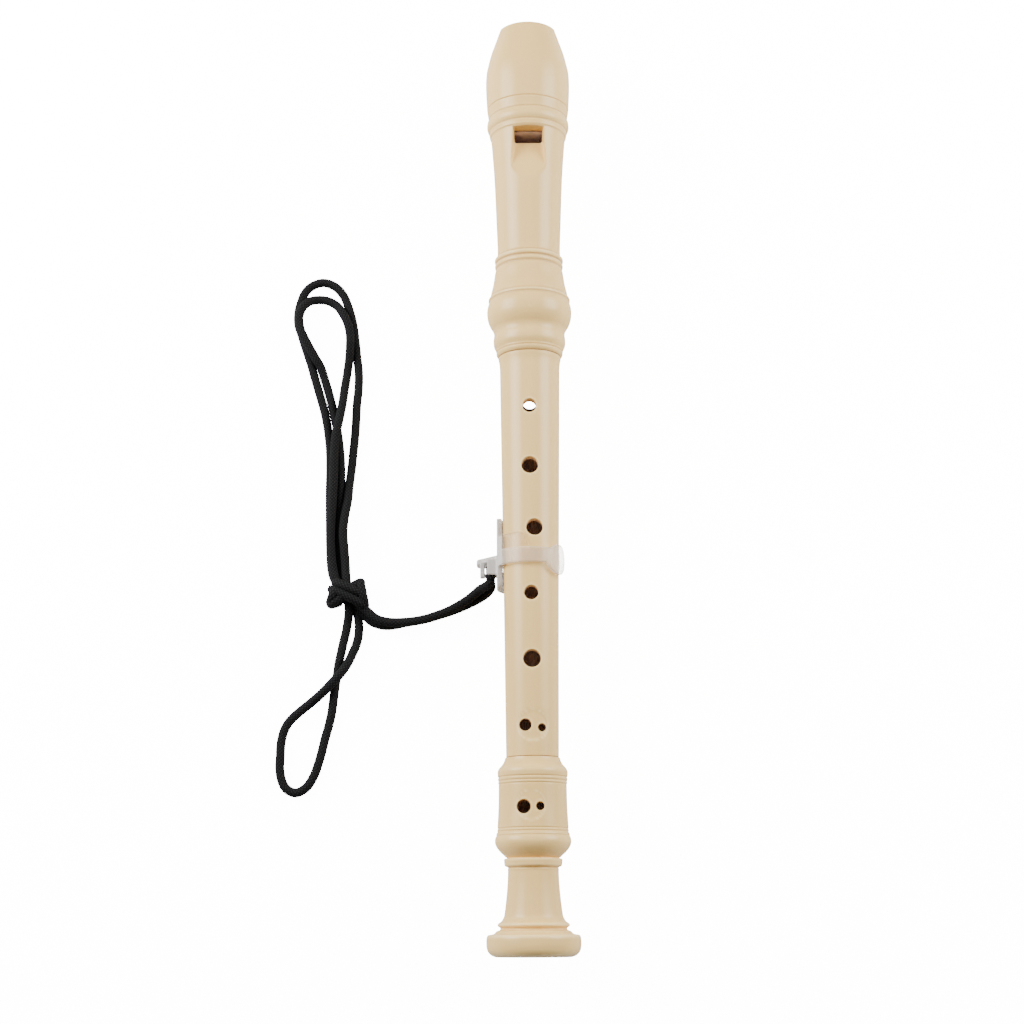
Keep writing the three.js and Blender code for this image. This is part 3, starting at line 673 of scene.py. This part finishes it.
# %% Beak
beak_outline = split(soften(BEAK_OUTSIDE), 0.35)
beak_outline = beak_outline[beak_outline[:, 0] < LENGTH - TIP_ROUNDING]
a = np.radians(np.linspace(0, 86, 7))
tip_s = LENGTH - TIP_ROUNDING * (1 - np.sin(a))
tip_inset = TIP_ROUNDING * (1 - np.cos(a))
tip_r = np.interp(tip_s, *np.array(BEAK_OUTSIDE).T) - tip_inset
spigot = np.array([
    [SPIGOT_END, SPIGOT_R - 0.4], [SPIGOT_END + 0.4, SPIGOT_R], [296.9, SPIGOT_R], [297.39, SPIGOT_R],
])
beak_s = np.concatenate([spigot[:, 0], beak_outline[:, 0], tip_s])
beak_r = np.concatenate([spigot[:, 1], beak_outline[:, 1], tip_r])
beak_scoop = scoop_height(beak_s) + np.concatenate([np.zeros(len(beak_s) - len(a)), tip_inset])


def beak_field(x, z):
    """Negative inside the circle and over the hollow, with the edge between them rounded."""
    return -smaller(beak_r[:, None] - np.hypot(x, z), z - beak_scoop[:, None], 1.3)


beak = sections("beak_shell", beak_s, np.maximum(0, (beak_scoop + beak_r) / 2), beak_field)
bore_turn = turned_rows([[SPIGOT_END - 1, HEAD_BORE], [LENGTH + 1, HEAD_BORE]], columns=96)
cut(beak, closed_tubes("tool", in_frame(bore_turn)))
cut(beak, closed_tubes("tool", box_rings(
    (-WINDWAY_HALF, WINDWAY_HALF), (SPIGOT_END - 1, LENGTH + 1), (4, WINDWAY_ROOF))))

# %% Windway block
BLOCK_R, BLOCK_HALF = 6.7, 4.9
BLOCK_TOP, BLOCK_ARCH = 7.75, 0.022   # height of the arch's crown, and how fast it falls: mm per mm2

block_s = np.concatenate([
    [285.7, 285.9], np.arange(286.2, LENGTH - 0.3, 0.6), [LENGTH - 0.35, LENGTH - 0.15],
])
block_inset = np.zeros_like(block_s)
block_inset[[0, -1]] = 0.2
block_scoop = scoop_height(block_s) + 0.3 + block_inset


def block_field(x, z):
    """Negative in the round plug or under the arch between its sides, and over the hollow."""
    under_arch = smaller(BLOCK_HALF - np.abs(x), BLOCK_TOP - BLOCK_ARCH * x ** 2 - z, 0.2)
    plug = np.maximum(BLOCK_R - np.hypot(x, z), np.minimum(under_arch, z - 2))
    return -smaller(plug - block_inset[:, None], z - block_scoop[:, None], 0.6)


block = sections("block_shell", block_s, np.maximum(0, (block_scoop + 7) / 2), block_field)

# %% [markdown]
# ## The thumb rest
# One piece of springy clear plastic: a saddle and a plate that hug the left of the tube, a band over
# the front that ends in a round ear, a ledge for the thumb and a small eyelet for the cord. Each is a
# bent plate with rounded edges. A voxel remesh joins them, as the plastic does in the mould, and a
# little smoothing rounds every inner corner.

# %% Bent plates
CLIP_BORE = 9.95
PLATE_CORNER = 0.35


def rounded_inset(distance, radius):
    """How far a rounded corner's edge has come in, at a distance from the end: r - sqrt(r2 - (r-d)2)."""
    short = np.clip(radius - distance, 0, radius)
    return radius - np.sqrt(radius ** 2 - short ** 2)


def bent_plate(degrees, low, high, outer, corner=PLATE_CORNER):
    """Rings across a plate bent round the tube: at each angle a rounded rectangle from one station
    to another and from the clip's bore to its outside."""
    a = np.radians(np.arange(0, 90.1, 30))
    quarter = np.stack([1 - np.sin(a), 1 - np.cos(a)], axis=1) * corner
    turn, low, high = (
        np.broadcast_to(v, np.shape(degrees))[:, None] for v in (np.radians(degrees), low, high))
    near_s, near_r = low + quarter[:, 0], CLIP_BORE + quarter[:, 1]
    far_s, far_r = high - quarter[:, 0], outer - quarter[:, 1]
    s = np.concatenate([near_s[:, ::-1], far_s, far_s[:, ::-1], near_s], axis=1)
    near_r, far_r = (np.broadcast_to(r, near_s.shape) for r in (near_r, far_r))
    r = np.concatenate([near_r[:, ::-1], near_r, far_r[:, ::-1], far_r], axis=1)
    return in_frame(np.stack([r * np.cos(turn), s, r * np.sin(turn)], axis=-1))


def across_plate(outline, stations, corner=0.3):
    """Rings of a flat plate square to the axis: its outline at each station, drawn in at both faces."""
    outline = np.array(outline, float)
    middle = outline.mean(axis=0)
    shrunk = middle + (outline - middle) * (1 - corner / 5)
    places = [stations[0], stations[0] + corner, stations[1] - corner, stations[1]]
    return in_frame(np.array([np.insert(line, 1, place, axis=1)
                              for line, place in zip([shrunk, outline, outline, shrunk], places)]))


# %% The clip's pieces
saddle_at = np.linspace(95, 258, 100)
saddle_top = np.interp(saddle_at, [95, 107], [134.2, 139.0])
saddle = bent_plate(saddle_at, 128.6, saddle_top, 11.2)

plate_at = np.linspace(168, 262, 60)
plate_round = rounded_inset(np.radians(np.minimum(plate_at - 168, 262 - plate_at)) * 11, 2.2)
plate = bent_plate(plate_at, 120.7 + plate_round, 145.7 - plate_round, 11.75)

band = bent_plate(np.linspace(40, 182, 90), 128.6, 133.7, 11.5)

EAR_STATION, EAR_HEIGHT, EAR_HALF_LENGTH, EAR_HALF_HEIGHT, EAR_R = 130.1, 6.3, 5.2, 4.2, 11.6
ear_at = np.degrees(np.arcsin((EAR_HEIGHT + EAR_HALF_HEIGHT * np.linspace(-1, 1, 70)) / EAR_R))
ear_half = EAR_HALF_LENGTH * np.sqrt(np.clip(1 - np.linspace(-1, 1, 70) ** 2, 0.03, 1))
ear = bent_plate(ear_at, EAR_STATION - ear_half, EAR_STATION + ear_half, EAR_R, corner=0.5)

hug = np.radians(np.linspace(250, 188, 16))
ledge_edge = soften([[-9, -15.2], [-15.2, -15.2], [-18.8, -15.2], [-18.8, -11], [-18.8, -8.6],
                     [-17.2, -7.1], [-12.2, -1.2], [-10.9, -1.0]])
ledge = across_plate(np.vstack([
    np.stack([10.6 * np.cos(hug), 10.6 * np.sin(hug)], axis=1), ledge_edge[::-1]]), (131.2, 133.2))

EYELET_STATION, EYELET_HEIGHT, EYELET_BAR_R = 126.8, -5.6, 0.7


def upright(x, heights, stations):
    """Rings of a plate square to the axis whose outline is a rectangle."""
    outline = [[x[0], heights[0]], [x[1], heights[0]], [x[1], heights[1]], [x[0], heights[1]]]
    return across_plate(outline, stations)


leg = upright((-17.5, -15.9), (EYELET_HEIGHT - 1.6, EYELET_HEIGHT + 1.6), (EYELET_STATION - 0.7, 131.5))
tab = upright((-15.0, -10.9), (-1.1, 0.3), (126.3, 131.5))
bar_turn = np.arange(32) / 32 * 2 * np.pi
bar_x = np.array([-16.7, -10.3])[:, None]
bar = in_frame(np.stack(np.broadcast_arrays(
    bar_x, EYELET_STATION + EYELET_BAR_R * np.cos(bar_turn),
    EYELET_HEIGHT + EYELET_BAR_R * np.sin(bar_turn)), axis=-1))

clip = closed_tubes("thumb_rest", saddle, plate, band, ear, ledge, leg, tab, bar)
remesh = clip.modifiers.new("one body", "REMESH")
remesh.mode, remesh.voxel_size, remesh.use_smooth_shade = "VOXEL", 0.2 * MM, True
relax = clip.modifiers.new("soft corners", "SMOOTH")
relax.factor, relax.iterations = 0.5, 4
clip.data = bpy.data.meshes.new_from_object(clip.evaluated_get(bpy.context.evaluated_depsgraph_get()))
clip.modifiers.clear()
clip.data.shade_smooth()
print(f"thumb rest: {len(clip.data.polygons)} faces")

# %% [markdown]
# ## Hitch and knot
# The cord goes round the eyelet's bar in one tight turn. The real knot is an overhand knot in the
# doubled cord, pulled tight. Here it is a bundle with the same outline: six closed ovals of cord, two
# of them side by side across the top, and a short stub where each stretch goes in. They cross each
# other inside, so no strand can be followed through it.

# %% Hitch
HITCH_X = -13.9                  # beside the bar's eyelet, from the axis
hitch_r = EYELET_BAR_R + CORD_R + 0.35
hitch_turn = np.radians(np.linspace(90, -90, 40))
hitch_s = EYELET_STATION + hitch_r * np.cos(hitch_turn)
hitch_z = EYELET_HEIGHT + hitch_r * np.sin(hitch_turn)
straight = np.linspace(2.2, 0.1, 8)
hitch_s = np.concatenate([EYELET_STATION - straight, hitch_s, EYELET_STATION - straight[::-1]])
hitch_z = np.concatenate([np.full(8, hitch_z[0]), hitch_z, np.full(8, hitch_z[-1])])
hitch_path = in_frame(np.stack([np.full_like(hitch_s, HITCH_X), hitch_s, hitch_z], axis=1))
hitch = braided_cord("cord_hitch", hitch_path)

# %% Knot
KNOT = np.array([-63.3, -42.4, 4.95])


def strand_round(across, along, height, degrees, half_length, half_height):
    """A closed oval of cord standing on edge: it goes over the top and back underneath."""
    turn = np.radians(np.linspace(-90, 274, 150))
    way = np.radians(degrees)
    flat = half_length * np.cos(turn)
    path = np.stack([across + flat * np.cos(way), along + flat * np.sin(way),
                     height + half_height * np.sin(turn)], axis=1)
    return (path + KNOT) * MM + [AXIS_X, 0, 0]


def way_in(path):
    """A quadratic Bezier curve that goes on from a stretch's end and turns towards the knot's middle."""
    end, ahead = path[-1], path[-1] - path[-4]
    ahead = ahead / np.linalg.norm(ahead)
    middle = KNOT * MM + [AXIS_X, 0, 0]
    start, bend, stop = end - 1.5 * MM * ahead, end + 2.5 * MM * ahead, end + (middle - end) * 0.7
    t = np.linspace(0, 1, 30)[:, None]
    return (1 - t) ** 2 * start + 2 * t * (1 - t) * bend + t ** 2 * stop


loose_ends = [path for _, path in cords.values()]
loose_ends += [path[::-1] for name, (_, path) in cords.items() if "loop" in name]
knot = braided_cord(
    "cord_knot",
    strand_round(0.0, -1.2, 0.0, -27, 6.3, 3.2), strand_round(0.5, 1.6, 0.1, -27, 5.4, 3.3),
    strand_round(-0.9, 0.7, -0.5, 33.5, 6.3, 2.6), strand_round(5.0, 0.1, -0.3, 102, 4.0, 2.7),
    strand_round(-4.9, -0.4, -0.2, 66, 2.4, 2.9), strand_round(-2.6, -1.9, -0.3, 25, 3.6, 2.6),
    *[way_in(path) for path in loose_ends],
)

# %% [markdown]
# ## Finishes
# Satin cream plastic, clear plastic in three strengths of cover, and black braid. What more than one
# of them needs is a node group that puts out plain values.

# %% Node helpers
def new_group(name, inputs, outputs):
    """An empty shader node group with named sockets; returns it with its two end nodes."""
    group = bpy.data.node_groups.new(name, "ShaderNodeTree")
    for label, kind in inputs.items():
        group.interface.new_socket(name=label, in_out="INPUT", socket_type=kind)
    for label, kind in outputs.items():
        group.interface.new_socket(name=label, in_out="OUTPUT", socket_type=kind)
    return group, group.nodes.new("NodeGroupInput"), group.nodes.new("NodeGroupOutput")


def new_material(name, **values):
    """A material with one Principled shader, whose own sockets take the plain values."""
    material = bpy.data.materials.new(name)
    material.use_nodes = True
    shader = material.node_tree.nodes["Principled BSDF"]
    for socket, value in values.items():
        shader.inputs[socket.replace("_", " ")].default_value = value
    return material, material.node_tree, shader


def placed_group(tree, group, vector, **values):
    """The group as a node in a material, fed with a vector and its own values."""
    node = tree.nodes.new("ShaderNodeGroup")
    node.node_tree = group
    tree.links.new(vector, node.inputs["Vector"])
    for socket, value in values.items():
        node.inputs[socket.replace("_", " ")].default_value = value
    return node


# %% [markdown]
# ### Moulded grain
# Injection moulded plastic isn't a mirror. The mould leaves a very fine grain that blurs
# reflections, faint long waves where the plastic shrank, and a slow drift of colour.

# %% Moulded grain group
grain, grain_in, grain_out = new_group(
    "moulded grain",
    {"Vector": "NodeSocketVector", "Grain Scale": "NodeSocketFloat", "Wave Scale": "NodeSocketFloat"},
    {"Height": "NodeSocketFloat", "Drift": "NodeSocketFloat"},
)
fine = grain.nodes.new("ShaderNodeTexNoise")
fine.inputs["Detail"].default_value = 3
slow = grain.nodes.new("ShaderNodeTexNoise")
slow.inputs["Detail"].default_value = 1
both = grain.nodes.new("ShaderNodeMath")
both.operation = "MULTIPLY_ADD"
both.inputs[1].default_value = 0.25
grain.links.new(grain_in.outputs["Vector"], fine.inputs["Vector"])
grain.links.new(grain_in.outputs["Vector"], slow.inputs["Vector"])
grain.links.new(grain_in.outputs["Grain Scale"], fine.inputs["Scale"])
grain.links.new(grain_in.outputs["Wave Scale"], slow.inputs["Scale"])
grain.links.new(fine.outputs["Fac"], both.inputs[0])
grain.links.new(slow.outputs["Fac"], both.inputs[2])
grain.links.new(both.outputs[0], grain_out.inputs["Height"])
grain.links.new(slow.outputs["Fac"], grain_out.inputs["Drift"])


# %% Cream plastic
def stations_and_radii(piece):
    """Each point's place right of the axis, station, height over the axis and radius, in mm."""
    points = np.empty(len(piece.data.vertices) * 3)
    piece.data.vertices.foreach_get("co", points)
    x, y, z = (points.reshape(-1, 3) - [AXIS_X, FOOT_END, AXIS_Z]).T / MM
    return x, y, z, np.hypot(x, z)


def mark(piece, name, value):
    """Stores one value for each point under a name that a material can read."""
    piece.data.attributes.new(name, "FLOAT", "POINT").data.foreach_set("value", value.astype(np.float32))


def mark_bore_shade(piece, bore, fade):
    """Painted shade in the bore: 1 on the bore, falling to 0 where the radius is the fade larger, and to 0 at
    the foot's mouth.
    """
    _, y, _, r = stations_and_radii(piece)
    mark(piece, "inside", np.clip(1 - (r - bore) / fade, 0, 1) * np.clip(y / 14, 0, 1))


RELIEF_STEP = 0.05               # between samples of an outline, mm
RELIEF_SIDE = 18                 # samples averaged on each side
RELIEF_FULL = 0.3                # height over the average that counts as a whole edge, mm


def mark_relief(piece, outline, holes=()):
    """How far the outline stands over its own average over RELIEF_SIDE steps each way: 1 is an edge,
    -1 a groove. The rims of the holes count as edges. The cream plastic paints edges paler as a painted
    highlight and grooves darker as painted shade."""
    x, y, z, r = stations_and_radii(piece)
    at = np.arange(outline[0, 0], outline[-1, 0], RELIEF_STEP)
    window = 2 * RELIEF_SIDE + 1
    line = np.interp(at, outline[:, 0], outline[:, 1])
    around = np.convolve(np.pad(line, RELIEF_SIDE, mode="edge"), np.full(window, 1 / window), mode="valid")
    relief = np.interp(y, at, (line - around) / RELIEF_FULL) * (r > np.interp(y, at, line) - 0.5)
    for station, across, radius in holes:
        off_rim = np.abs(np.hypot(x - across, y - station) - radius - 0.3)
        relief = np.maximum(relief, np.clip(1.2 - off_rim / 0.3, 0, 1) * (z > 0))
    mark(piece, "relief", np.clip(relief, -1, 1))


CREAM_WARM = (0.80, 0.52, 0.17, 1)
CREAM_COOL = (0.82, 0.545, 0.19, 1)
# Edges and hole rims painted paler: a painted highlight.
EDGE_HIGHLIGHT = (0.93, 0.68, 0.29, 1)
# Grooves painted darker: painted shade.
GROOVE_SHADE = (0.40, 0.23, 0.09, 1)
# The bore's duller brown is painted shade.
BORE_SHADE = (0.75, 0.55, 0.45, 1)


def cream_plastic():
    """Cream ABS: a warm and a cooler cream that drift into each other, and a satin roughness. Edges and hole
    rims are painted paler, a painted highlight; grooves are painted darker and the bore a duller brown,
    painted shade."""
    material, tree, shader = new_material("cream_plastic", Roughness=0.34, Specular_IOR_Level=0.4)
    place = tree.nodes.new("ShaderNodeTexCoord")
    look = placed_group(tree, grain, place.outputs["Object"], Grain_Scale=2600.0, Wave_Scale=70.0)
    relief = tree.nodes.new("ShaderNodeAttribute")
    relief.attribute_name = "relief"
    sunk = tree.nodes.new("ShaderNodeMath")
    sunk.operation = "MULTIPLY"
    sunk.inputs[1].default_value = -0.75
    tree.links.new(relief.outputs["Fac"], sunk.inputs[0])
    inside = tree.nodes.new("ShaderNodeAttribute")
    inside.attribute_name = "inside"
    colour = CREAM_WARM
    # The drift is the plastic's own tone; the paler edges are a painted highlight, the darker grooves and the
    # brown bore painted shade.
    for other, factor in [(CREAM_COOL, look.outputs["Drift"]), (EDGE_HIGHLIGHT, relief.outputs["Fac"]),
                          (GROOVE_SHADE, sunk.outputs[0]), (BORE_SHADE, inside.outputs["Fac"])]:
        mixed = tree.nodes.new("ShaderNodeMix")
        mixed.data_type = "RGBA"
        mixed.inputs["B"].default_value = other
        tree.links.new(factor, mixed.inputs["Factor"])
        if colour is CREAM_WARM:
            mixed.inputs["A"].default_value = colour
        else:
            tree.links.new(colour, mixed.inputs["A"])
        colour = mixed.outputs["Result"]
    bump = tree.nodes.new("ShaderNodeBump")
    bump.inputs["Strength"].default_value = 0.12
    bump.inputs["Distance"].default_value = 0.00004
    tree.links.new(colour, shader.inputs["Base Color"])
    tree.links.new(look.outputs["Height"], bump.inputs["Height"])
    tree.links.new(bump.outputs["Normal"], shader.inputs["Normal"])
    return material


# The bores are painted a duller brown, which fades out towards the foot's mouth: painted shade.
for piece, bore, fade in [
    (foot, 5.2, 3.0), (middle, 6.6, 1.6), (head, HEAD_BORE, 0.4), (beak, HEAD_BORE, 2.3),
]:
    mark_bore_shade(piece, bore, fade)
# The block's end that lies deep in the head is painted the same duller brown: painted shade.
_, block_y, _, _ = stations_and_radii(block)
mark(block, "inside", np.clip((292 - block_y) / 3, 0, 1))
mark_relief(foot, foot_outline, FOOT_HOLES + [(48.1, -0.7, 4.5)])
mark_relief(middle, middle_outline, MIDDLE_HOLES + [(74.2, 0.1, 4.8)])
mark_relief(head, head_outline)
cream = cream_plastic()


# %% Clear plastic
def clear_plastic(name, colour, roughness, transmission, faces, rims):
    """Thin springy plastic: it hides little where it faces the eye and more where it turns away."""
    material, tree, shader = new_material(
        name, Base_Color=colour, Roughness=roughness, IOR=1.45, Transmission_Weight=transmission)
    place = tree.nodes.new("ShaderNodeTexCoord")
    look = placed_group(tree, grain, place.outputs["Object"], Grain_Scale=1800.0, Wave_Scale=160.0)
    bump = tree.nodes.new("ShaderNodeBump")
    bump.inputs["Strength"].default_value = 0.15
    bump.inputs["Distance"].default_value = 0.00005
    turned = tree.nodes.new("ShaderNodeLayerWeight")
    turned.inputs["Blend"].default_value = 0.35
    cover = tree.nodes.new("ShaderNodeMapRange")
    cover.inputs["To Min"].default_value = faces
    cover.inputs["To Max"].default_value = rims
    tree.links.new(turned.outputs["Facing"], cover.inputs["Value"])
    tree.links.new(cover.outputs["Result"], shader.inputs["Alpha"])
    tree.links.new(look.outputs["Height"], bump.inputs["Height"])
    tree.links.new(bump.outputs["Normal"], shader.inputs["Normal"])
    return material


clear = clear_plastic("clear_plastic", (0.80, 0.66, 0.50, 1), 0.15, 0.7, faces=0.10, rims=0.9)
milky = clear_plastic("milky_plastic", (0.84, 0.72, 0.58, 1), 0.22, 0.2, faces=0.26, rims=0.95)
smoky = clear_plastic("smoky_plastic", (0.70, 0.66, 0.62, 1), 0.25, 0.2, faces=0.93, rims=1.0)

# %% Black braid
def black_braid():
    """Black polyester braid: threads run along each strand; the strands' backs are painted a little lighter,
    a painted sheen, and the gaps between them darker, painted shade.
    """
    material, tree, shader = new_material("black_braid", Roughness=0.8, Specular_IOR_Level=0.12)
    place = tree.nodes.new("ShaderNodeUVMap")
    place.uv_map = "braid"
    spread = tree.nodes.new("ShaderNodeMapping")
    spread.inputs["Scale"].default_value = (2 * math.pi * CORD_R, 1, 1)
    threads = tree.nodes.new("ShaderNodeTexNoise")
    threads.inputs["Scale"].default_value = 5.0
    threads.inputs["Detail"].default_value = 4.0
    # Painted sheen on the strands' backs and painted shade in the gaps between them.
    colour = tree.nodes.new("ShaderNodeMix")
    colour.data_type = "RGBA"
    colour.inputs["A"].default_value = (0.0012, 0.0012, 0.0014, 1)
    colour.inputs["B"].default_value = (0.022, 0.022, 0.023, 1)
    strand = tree.nodes.new("ShaderNodeAttribute")
    strand.attribute_name = "strand"
    back = tree.nodes.new("ShaderNodeMath")
    back.operation = "POWER"
    back.inputs[1].default_value = 5.0
    bump = tree.nodes.new("ShaderNodeBump")
    bump.inputs["Strength"].default_value = 0.5
    bump.inputs["Distance"].default_value = 0.0001
    tree.links.new(place.outputs["UV"], spread.inputs["Vector"])
    tree.links.new(spread.outputs["Vector"], threads.inputs["Vector"])
    tree.links.new(strand.outputs["Fac"], back.inputs[0])
    tree.links.new(back.outputs[0], colour.inputs["Factor"])
    tree.links.new(colour.outputs["Result"], shader.inputs["Base Color"])
    tree.links.new(threads.outputs["Fac"], bump.inputs["Height"])
    tree.links.new(bump.outputs["Normal"], shader.inputs["Normal"])
    return material


braid = black_braid()

# %% [markdown]
# ## Who rides on what
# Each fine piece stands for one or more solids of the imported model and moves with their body.

# %% Bodies, nodes and slots
for piece, body, node, material, slot in [
    (foot, "foot", "foot_joint", cream, "ivory_plastic"),
    (middle, "middle", "middle_joint", cream, "ivory_plastic"),
    (head, "head", "head_tube", cream, "ivory_plastic"),
    (beak, "head", "beak", cream, "ivory_plastic"),
    (block, "head", "windway_block", cream, "ivory_plastic"),
    (clip, "clip", "thumb_rest_clip", clear, "clear_plastic"),
    (hitch, "clip", "neck_cord_hitch", braid, "black_braid"),
    (knot, "clip", "neck_cord_knot", braid, "black_braid"),
    *[(piece, "clip", "neck_" + name, braid, "black_braid") for name, (piece, _) in cords.items()],
]:
    piece.data.materials.clear()
    piece.data.materials.append(material)
    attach(piece, body)
    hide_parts(node)

# %% The clip's thicker parts
clip.data.materials.append(milky)
clip.data.materials.append(smoky)
centres = np.empty(len(clip.data.polygons) * 3)
clip.data.polygons.foreach_get("center", centres)
x, y, z = (centres.reshape(-1, 3) - [AXIS_X, FOOT_END, AXIS_Z]).T / MM
in_band = (y > 128.4) & (y < 133.9) & (x > -10) | (x > 5)
beside_tube = ~in_band & ((x < -10) | (z < -3))
clip.data.polygons.foreach_set("material_index", (in_band + 2 * beside_tube).astype(np.int32))

# %% [markdown]
# ## What the cord is
# The whole cord can be seen, so its length is what the stretches add up to. Two strands leave the
# eyelet for the knot, and each loop leaves the knot and goes back into it.

# %% [markdown]
# ## Table and light
# A white table that glows only as the camera sees it, so that it stays white and lights nothing. Two
# soft lights stand left and right, over the head's half, and a weak one fills from above.

# %% Table
TABLE_HALF = 3.0
TABLE_GLOW = 14.0                # only as the camera sees it, so that it lights nothing
table_points = np.array([[-1, -1, 0], [1, -1, 0], [1, 1, 0], [-1, 1, 0]]) * [TABLE_HALF, TABLE_HALF, 0]
table_top = add_mesh("table_top", table_points, [[0, 1, 2, 3]])
table_material, table_tree, table_shader = new_material(
    "white_table", Base_Color=(0.85, 0.85, 0.85, 1), Roughness=0.6, Emission_Color=(1, 1, 1, 1))
seen = table_tree.nodes.new("ShaderNodeLightPath")
glow = table_tree.nodes.new("ShaderNodeMath")
glow.operation = "MULTIPLY"
glow.inputs[1].default_value = TABLE_GLOW
table_tree.links.new(seen.outputs["Is Camera Ray"], glow.inputs[0])
table_tree.links.new(glow.outputs[0], table_shader.inputs["Emission Strength"])
table_top.data.materials.append(table_material)


# %% Lights
def soft_light(name, place, target, size, watts):
    """A square area light at a place in metres, turned to face a target."""
    lamp = bpy.data.lights.new(name, "AREA")
    lamp.shape, lamp.size, lamp.energy = "SQUARE", size, watts
    light = bpy.data.objects.new(name, lamp)
    bpy.context.scene.collection.objects.link(light)
    light.location = place
    away = np.subtract(place, target)
    away = away / np.linalg.norm(away)
    light.rotation_euler = (math.acos(away[2]), 0, math.atan2(away[1], away[0]) + math.pi / 2)
    return light


soft_light("left soft box", (-0.62, 0.26, 0.38), (0, 0.1, 0), 0.45, 12.5)
soft_light("right soft box", (0.62, 0.26, 0.38), (0, 0.1, 0), 0.45, 10)
soft_light("overhead", (0, 0.35, 0.7), (0, 0.1, 0), 0.6, 1.8)
world = bpy.data.worlds.new("studio")
world.use_nodes = True
world.node_tree.nodes["Background"].inputs["Color"].default_value = (1, 1, 1, 1)
world.node_tree.nodes["Background"].inputs["Strength"].default_value = 0.22
bpy.context.scene.world = world
